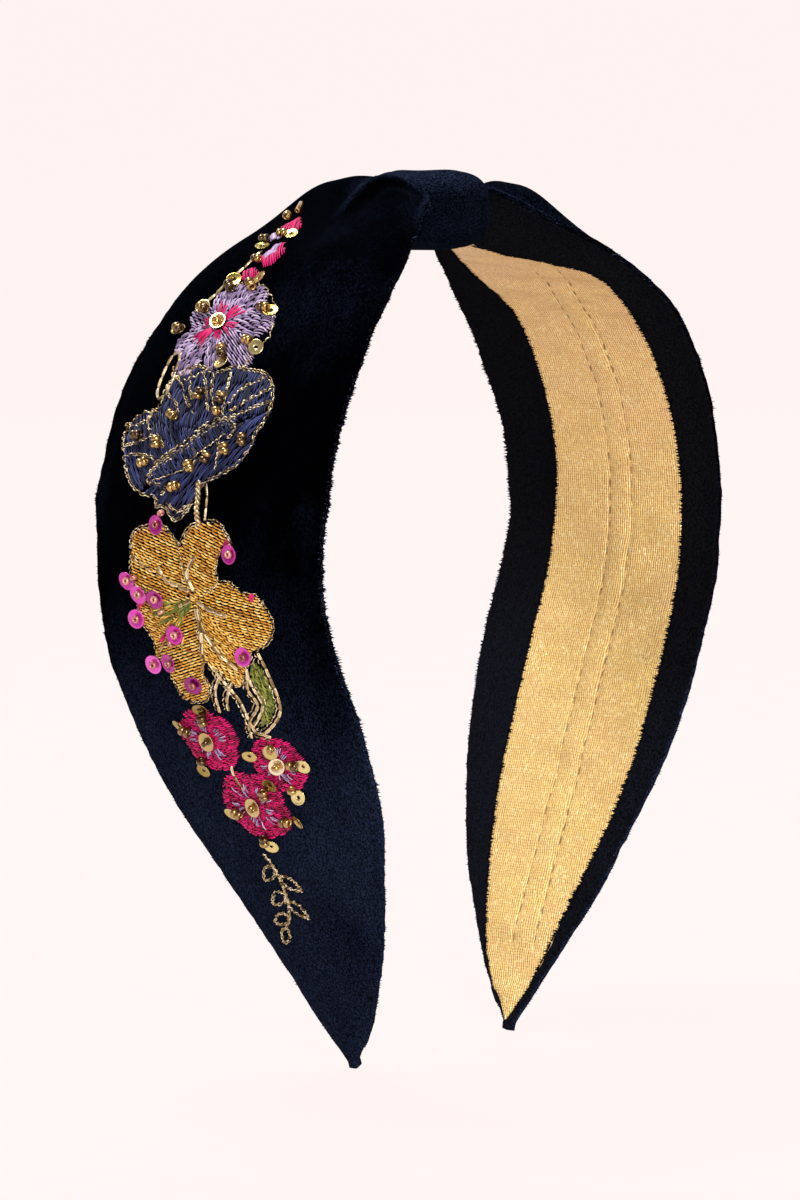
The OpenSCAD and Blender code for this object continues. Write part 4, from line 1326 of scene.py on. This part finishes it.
def make_trail(heaps, rng):
    """Magenta buds near the knot, their stem, and the loop beside the lilac."""
    for outline in TRAIL:
        satin(heaps["magenta"], outline, (1, -0.55), rng, pitch=0.34, lift=0.5)
    for start, end in (((31.8, 3.5), (34.2, 2.1)), ((33.2, 4.1), (34.8, 2.8)),
                       ((36.2, 0.6), (38.8, 0.1)), ((37.5, -0.2), (39.2, 1.1))):
        tuft(heaps["lilac"], start, end, rng, 4, 0.24, 0.55)
    purl_line(heaps["cord"], BUD_STEM, rng, 0.3, 0.26)
    purl_line(heaps["cord"], LEAF_LOOP, rng, 0.3, 0.28)


SPRIG_STEM = [(141, 3.4), (144, 1.8), (148, 1.2), (152, 2.0), (156, 4.2)]
SPRIG_LEAVES = [
    ((143.4, 2.0), (146.4, 5.2)), ((145.2, 1.4), (147.6, -2.6)), ((148.4, 1.4), (151.2, 5.2)),
    ((150.0, 1.6), (153.4, -1.6)), ((153.2, 2.6), (155.4, 6.6)), ((156, 4.2), (159.4, 6.0))
]


def make_sprig(heap, rng):
    """A plain sprig: a curved stem with six small pointed leaves."""
    def sew(points, thick):
        for shift in (-0.14, 0.14):
            chain_line(heap, beside(points, shift), rng, 0.32, 0.5, thick, 0.12, 0.06)

    sew(SPRIG_STEM, 0.13)
    for root, tip in SPRIG_LEAVES:
        a, b = np.array(root), np.array(tip)
        q = np.array([-(b - a)[1], (b - a)[0]]) * 0.24
        for bend in (1, -1):
            sew([a, a + (b - a) * 0.3 + bend * q * 0.9, a + (b - a) * 0.65 + bend * q * 0.8, b],
                0.09)


# --- Sequins and beads ------------------------------------------------------------------
def upright(s):
    """Directions on the velvet: along the arm, towards the back, and up."""
    up, back = away(np.array([s]), LEFT)[0], np.array([0.0, 1.0, 0.0])
    return np.cross(back, up), back, up


def turned(profile, segments):
    """A closed ring turned from a profile of (radius, height) points."""
    angles = np.linspace(0, 2 * np.pi, segments, endpoint=False)
    points = [(r * math.cos(a), r * math.sin(a), z) for a in angles for r, z in profile]
    count = len(profile)
    faces = []
    for k in range(segments):
        for j in range(count):
            a, b = k * count, ((k + 1) % segments) * count
            faces.append((a + j, b + j, b + (j + 1) % count, a + (j + 1) % count))
    return np.array(points), faces


FLAT_SEQUIN = turned([(0.28, 0.0), (0.62, -0.03), (1.15, 0.06), (1.3, 0.1), (1.3, 0.02),
                      (1.15, -0.04), (0.62, -0.13), (0.28, -0.1)], 30)
CUP_SEQUIN = turned([(0.3, 0.0), (0.72, 0.0), (1.1, 0.16), (1.6, 0.34), (1.67, 0.31),
                     (1.12, 0.06), (0.74, -0.1), (0.3, -0.1)], 36)
SEED_BEAD = turned([(0.26, 0.0), (0.29, 0.24), (0.4, 0.36), (0.54, 0.38), (0.66, 0.28),
                    (0.73, 0.1), (0.73, -0.1), (0.66, -0.28), (0.54, -0.38), (0.4, -0.36),
                    (0.29, -0.24)], 22)
BEAD_PITCH = 0.82       # from one bead to the next in a pair
BUGLE_BEAD = turned([(0.2, 1.9), (0.45, 1.95), (0.52, 1.8), (0.52, -1.8), (0.45, -1.95),
                     (0.2, -1.9)], 12)


def put(heap, shape, s, w, h, axes, size, rng):
    """Adds a copy of the shape at a height over the velvet, turned to these axes."""
    points, faces = shape[0] * size, shape[1]
    origin = place(s, w, top_n(s, w, LEFT) + h, LEFT)
    heap.add(origin + (points * MM) @ axes.T, faces, rng.random(),
             points + np.array([s, w, h]))


def set_down(heap, shape, s, w, h, rng, tilt, size=1.0):
    """A sequin or bead that lies flat, tilted a little and spun."""
    tilt, lean_to = rng.uniform(0.3, 1) * tilt, rng.uniform(0, TURN)
    turn = Matrix.Rotation(tilt, 3, Vector((math.cos(lean_to), math.sin(lean_to), 0)))
    turn = turn @ Matrix.Rotation(rng.uniform(0, TURN), 3, "Z")
    put(heap, shape, s, w, h, np.stack(upright(s), 1) @ np.array(turn), size, rng)


def lay_row(heap, shape, places, h, rng, size=1.0):
    """Beads on their sides in a row: pairs of places share one stitch and touch."""
    k = 0
    while k < len(places):
        a = np.array(places[k], float)
        b = np.array(places[k + 1], float) if k + 1 < len(places) else a + 9
        paired = np.linalg.norm(b - a) < 2.3
        turn = rng.uniform(0, TURN)
        d = (b - a) / np.linalg.norm(b - a) if paired else np.array([math.cos(turn),
                                                                     math.sin(turn)])
        middle = (a + b) / 2 if paired else a
        for step in ((-0.5, 0.5) if paired else (0,)):
            s, w = middle + step * size * BEAD_PITCH * d
            x, y, up = upright(s)
            axis = -d[0] * x + d[1] * y + up * rng.uniform(-0.2, 0.2)
            axis += np.cross(up, axis) * rng.uniform(-0.15, 0.15)
            axis /= np.linalg.norm(axis)
            u = np.cross(up, axis)
            u /= np.linalg.norm(u)
            put(heap, shape, s, w, h, np.stack([u, np.cross(axis, u), axis], 1), size, rng)
        k += 2 if paired else 1


GOLD_SEQUINS = [
    (43.5, 4.8), (43.3, -0.4), (47.8, 9.2), (51.5, 12.7), (48.5, -5.4), (54.5, -5.1), (57.2, 0.8),
    (112.8, 5.5), (116.5, 11.5), (125, 9.5), (120, -6.5), (121, -2), (122.5, -12), (128.5, -9),
    (126.5, -4), (133, 6.5), (133.5, -7), (139, 0.5)
]
TRAIL_SEQUINS = [(33.2, 0.2), (36.8, 3.4)]
GOLD_BEADS = [
    (44.5, 5.3), (45.2, 4.4), (44.2, 1), (45, 0), (48, 9.5), (48.5, 8), (51.2, 13.1), (51.8, 11.9),
    (48.2, -3.3), (48.2, -4.6), (53.5, -2.6), (53.8, -3.9), (54.8, 1.6), (56, 1), (114, 5.5),
    (115.4, 5.5), (117, 11), (117.5, 9.5), (123, 9), (119.2, -7), (122, -9.5), (122.5, -11),
    (127, -8.5), (127.5, -2.5), (129, -2.3), (132.4, 5.6), (133, 4.4), (133.5, -4), (133.5, -5.6),
    (137, 1), (138.4, 1.4)
]
BLOOM_BEADS = [
    (69, 15.4), (69, 13.7), (69.5, 9.8), (70.8, 9.5), (65.5, 8.3), (66.2, 6.8), (73, 11.2),
    (73.5, 12.8), (76.5, 4), (77, 5.6), (73, 2.7), (74.2, 1.7), (71.5, -1.2), (72.8, -0.7),
    (70, -4.3), (71.5, -4.9), (68.5, -7.7), (70, -7.8), (63.2, 3.1), (61.8, 2.8), (62.2, -1.8),
    (63.8, -1.6), (65.2, -1.7)
]
TRAIL_BEADS = [
    (28.2, 5.2), (26.4, 6.4), (35.2, 4.8), (35.2, 3.4), (33.6, 2.4), (33.4, 1.2), (40, 2.8),
    (40.2, 1.3)
]
PINK_SEQUINS = [
    (82.6, 8), (86.5, -7), (94, 9), (99.5, 6), (97.5, 14), (104.5, 9), (108, 5), (102.5, -7),
    (91.5, 15), (93.5, 12.6), (105, 12.5)
]
ROSE_BEADS = [(80.8, 7.2), (101, 7.4), (91, 13.4), (96, 8.2)]
BUGLES = [(24.4, 5.6)]


def make_trims(heaps, rng):
    """Sequins and beads, each at its height over the velvet."""
    for s, w in GOLD_SEQUINS:
        set_down(heaps["sequin"], FLAT_SEQUIN, s, w, 0.85, rng, 0.42)
    for s, w in TRAIL_SEQUINS:
        set_down(heaps["sequin"], FLAT_SEQUIN, s, w, 0.7, rng, 0.42, 0.92)
    points, faces = CUP_SEQUIN
    oval = (points * [1.05, 0.84, 1.0], faces)
    for s, w in [LILAC_AT] + [f[0] for f in FLOWERS]:
        set_down(heaps["cup"], oval, s, w, 0.85, rng, 0.2)
        lay_row(heaps["bead"], SEED_BEAD, [(s, w)], 1.35, rng, 1.05)
    for places, h, size in ((GOLD_BEADS, 1.2, 1.18), (BLOOM_BEADS, 1.25, 1.16),
                            (TRAIL_BEADS, 0.95, 1.0)):
        lay_row(heaps["bead"], SEED_BEAD, places, h, rng, size)
    for s, w in PINK_SEQUINS:
        set_down(heaps["pink"], CUP_SEQUIN, s, w, 0.85, rng, 0.3, 0.97)
        set_down(heaps["rose"], SEED_BEAD, s, w, 1.3, rng, 0.2, 0.9)
    lay_row(heaps["rose"], SEED_BEAD, ROSE_BEADS, 0.95, rng, 0.9)
    lay_row(heaps["bugle"], BUGLE_BEAD, BUGLES, 0.65, rng, 0.9)


def make_embroidery():
    """Sews every flower and trim, each into the heap of its thread."""
    keys = ("lilac", "magenta", "hearts", "navy", "band", "yellow", "green", "cord", "sprig",
            "sequin", "cup", "pink", "bead", "rose", "bugle")
    heaps = {key: Heap() for key in keys}
    for name, make in (("trail", make_trail), ("lilac", make_lilac), ("bloom", make_bloom),
                       ("lily", make_lily), ("leaf", make_leaf), ("flowers", make_small_flowers),
                       ("trims", make_trims)):
        make(heaps, random.Random(name))
    make_sprig(heaps["sprig"], random.Random("sprig"))
    table = [
        ("lilac", "lilac_petals", LILAC, "lilac_thread", ["lilac_flower"]),
        ("magenta", "magenta_stitches", MAGENTA, "magenta_thread",
         ["magenta_flowers", "bud_trail", "lilac_flower_heart"]),
        ("hearts", "lilac_hearts", LILAC, "lilac_thread", ["magenta_flower_hearts"]),
        ("navy", "navy_petals", NAVY, "navy_thread", ["navy_bloom"]),
        ("band", "navy_fold", NAVY, "navy_thread", ["navy_bloom_band"]),
        ("yellow", "lily_petals", YELLOW, "yellow_thread", ["lily"]),
        ("green", "green_stitches", GREEN, "green_thread", ["lily_throat", "green_leaf"]),
        ("cord", "gold_cords", CORD, "metallic_cord",
         ["bud_trail_stem", "leaf_loop", "bloom_stem", "lily_veins", "leaf_cord"]),
        ("sprig", "sprig_stitches", CORD, "metallic_cord", ["gold_sprig"]),
        ("sequin", "flat_sequins", SEQUIN, "gold_sequin", ["gold_sequins"]),
        ("cup", "heart_sequins", CUP, "cup_sequin", ["cup_sequins"]),
        ("pink", "lily_sequins", PINK, "pink_sequin", ["pink_sequins"]),
        ("bead", "bronze_beads", BRONZE, "gold_bead", ["gold_seed_beads"]),
        ("rose", "rose_beads", ROSE, "rose_bead", ["rose_seed_beads"]),
        ("bugle", "bugles", BUGLE, "gold_bead", ["bugle_beads"]),
    ]
    for key, name, material, slot, nodes in table:
        piece = heaps[key].piece(name, material, slot, *nodes, smooth=True)
        blend_arm(piece, LEFT)


# --- The whole object -------------------------------------------------------------------
for side in ARMS:
    make_cover(side)
    make_pile(side)
    make_lining(side)
    make_hem_pile(side)
    make_stitches(side)
    make_padding(side)
make_spring(LEFT, "spring_strip")
make_spring(RIGHT)
make_wrap()
make_core()
make_embroidery()
for node in ("left_spring_cap", "right_spring_cap"):
    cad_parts[node].data.materials.clear()
    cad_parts[node].data.materials.append(RUBBER)


# --- Stage, light and camera ------------------------------------------------------------
def paper_finish():
    """Pale matt paper that gives off a little light, so no shadow shows on it."""
    f = Finish("pale_paper", rough=0.9, Specular_IOR_Level=0.1)
    f.shader.inputs["Emission Color"].default_value = PAPER
    f.shader.inputs["Emission Strength"].default_value = 0.985
    grain = f.noise(f.node("TexCoord").outputs["Object"], 120, 3.0)
    return f.set(Base_Color=f.mix(grain, (42, 40, 39), (38, 36, 35)))


def make_stage():
    """A pale floor that curves up into a wall: the half behind the object lights it, and a
    round one of the same paper closes the view from every side."""
    floor_z = cad_box[0][2]
    deep, wide, bend, wall = 1.6, 4.0, 0.5, 2.6
    back = np.array([math.sin(math.radians(AZIMUTH)), -math.cos(math.radians(AZIMUTH))])
    curve = [(deep + bend * math.sin(a), bend * (1 - math.cos(a)))
             for a in np.linspace(0, math.pi / 2, 17)[1:]]
    curve += [(deep + bend, h) for h in np.linspace(bend, wall, 4)[1:]]
    profile = [(d, 0.0) for d in np.linspace(-1.2, deep, 6)] + curve
    side_way = np.array([back[1], -back[0]])
    points = []
    for d, h in profile:
        for k in np.linspace(-wide / 2, wide / 2, 9):
            x, y = -back * d + side_way * k
            points.append((x, y, floor_z + h))
    paper = paper_finish()
    half = new_object("studio_floor", points, grid_faces(len(profile), 9), paper)
    half.visible_camera = False
    around = 64
    turns = np.linspace(0, 2 * np.pi, around, endpoint=False)
    profile = [(r, 0.0) for r in (0.0005, 0.4, 0.8, 1.2, deep)] + curve
    points = [(d * math.cos(a), d * math.sin(a), floor_z + 0.0001 + h) for d, h in profile
              for a in turns]
    faces = grid_faces(len(profile), around, around=True) + [tuple(range(around))]
    whole = new_object("studio_round", points, faces, paper)
    whole.visible_diffuse = whole.visible_glossy = whole.visible_transmission = False
    whole.visible_shadow = False


def area_light(name, at, aim, size, power):
    data = bpy.data.lights.new(name, "AREA")
    data.shape, data.size, data.energy = "DISK", size, power
    light = bpy.data.objects.new(name, data)
    light.location = at
    light.rotation_euler = (Vector(aim) - Vector(at)).to_track_quat("-Z", "Y").to_euler()
    bpy.context.scene.collection.objects.link(light)


AZIMUTH, ELEVATION, ROLL = -53.58, 5.67, -0.734
SENSOR = 36.0
DISTANCE, LENS = 0.829, 4.04 * SENSOR
AIM_RIGHT, AIM_UP, AIM_BASE = -5.073 * MM, 11.153 * MM, (0, 0, -70 * MM)
PAPER = srgb(255, 243, 241)


def make_camera():
    a, e, r = (math.radians(v) for v in (AZIMUTH, ELEVATION, ROLL))
    back = Vector((math.sin(a) * math.cos(e), -math.cos(a) * math.cos(e), math.sin(e)))
    right = Vector((math.cos(a), math.sin(a), 0))
    up = back.cross(right)
    aim = right * AIM_RIGHT + up * AIM_UP + Vector(AIM_BASE)
    x = right * math.cos(r) + up * math.sin(r)
    y = up * math.cos(r) - right * math.sin(r)
    data = bpy.data.cameras.new("camera")
    data.lens, data.sensor_width, data.clip_start = LENS, SENSOR, 0.01
    camera = bpy.data.objects.new("camera", data)
    camera.matrix_world = Matrix.Translation(aim + back * DISTANCE) @ Matrix(
        (x, y, back)).transposed().to_4x4()
    bpy.context.scene.collection.objects.link(camera)
    bpy.context.scene.camera = camera


# Soft round lights: name, place, what each points at, size and power
LIGHTS = (("key", (-0.7, -0.75, 0.35), (0, 0, -0.07), 0.45, 7),
          ("top", (-0.05, 0.3, 0.8), (0, 0, -0.02), 0.35, 9),
          ("low", (-0.45, -0.7, -0.1), (0.03, 0, -0.1), 0.5, 2.5))
WORLD_STRENGTH = 0.3

make_camera()
make_stage()
for light in LIGHTS:
    area_light(*light)
world = bpy.data.worlds.new("studio")
world.use_nodes = True
world.node_tree.nodes["Background"].inputs["Color"].default_value = PAPER
world.node_tree.nodes["Background"].inputs["Strength"].default_value = WORLD_STRENGTH
bpy.context.scene.world = world
bpy.context.scene.view_settings.view_transform = "Standard"
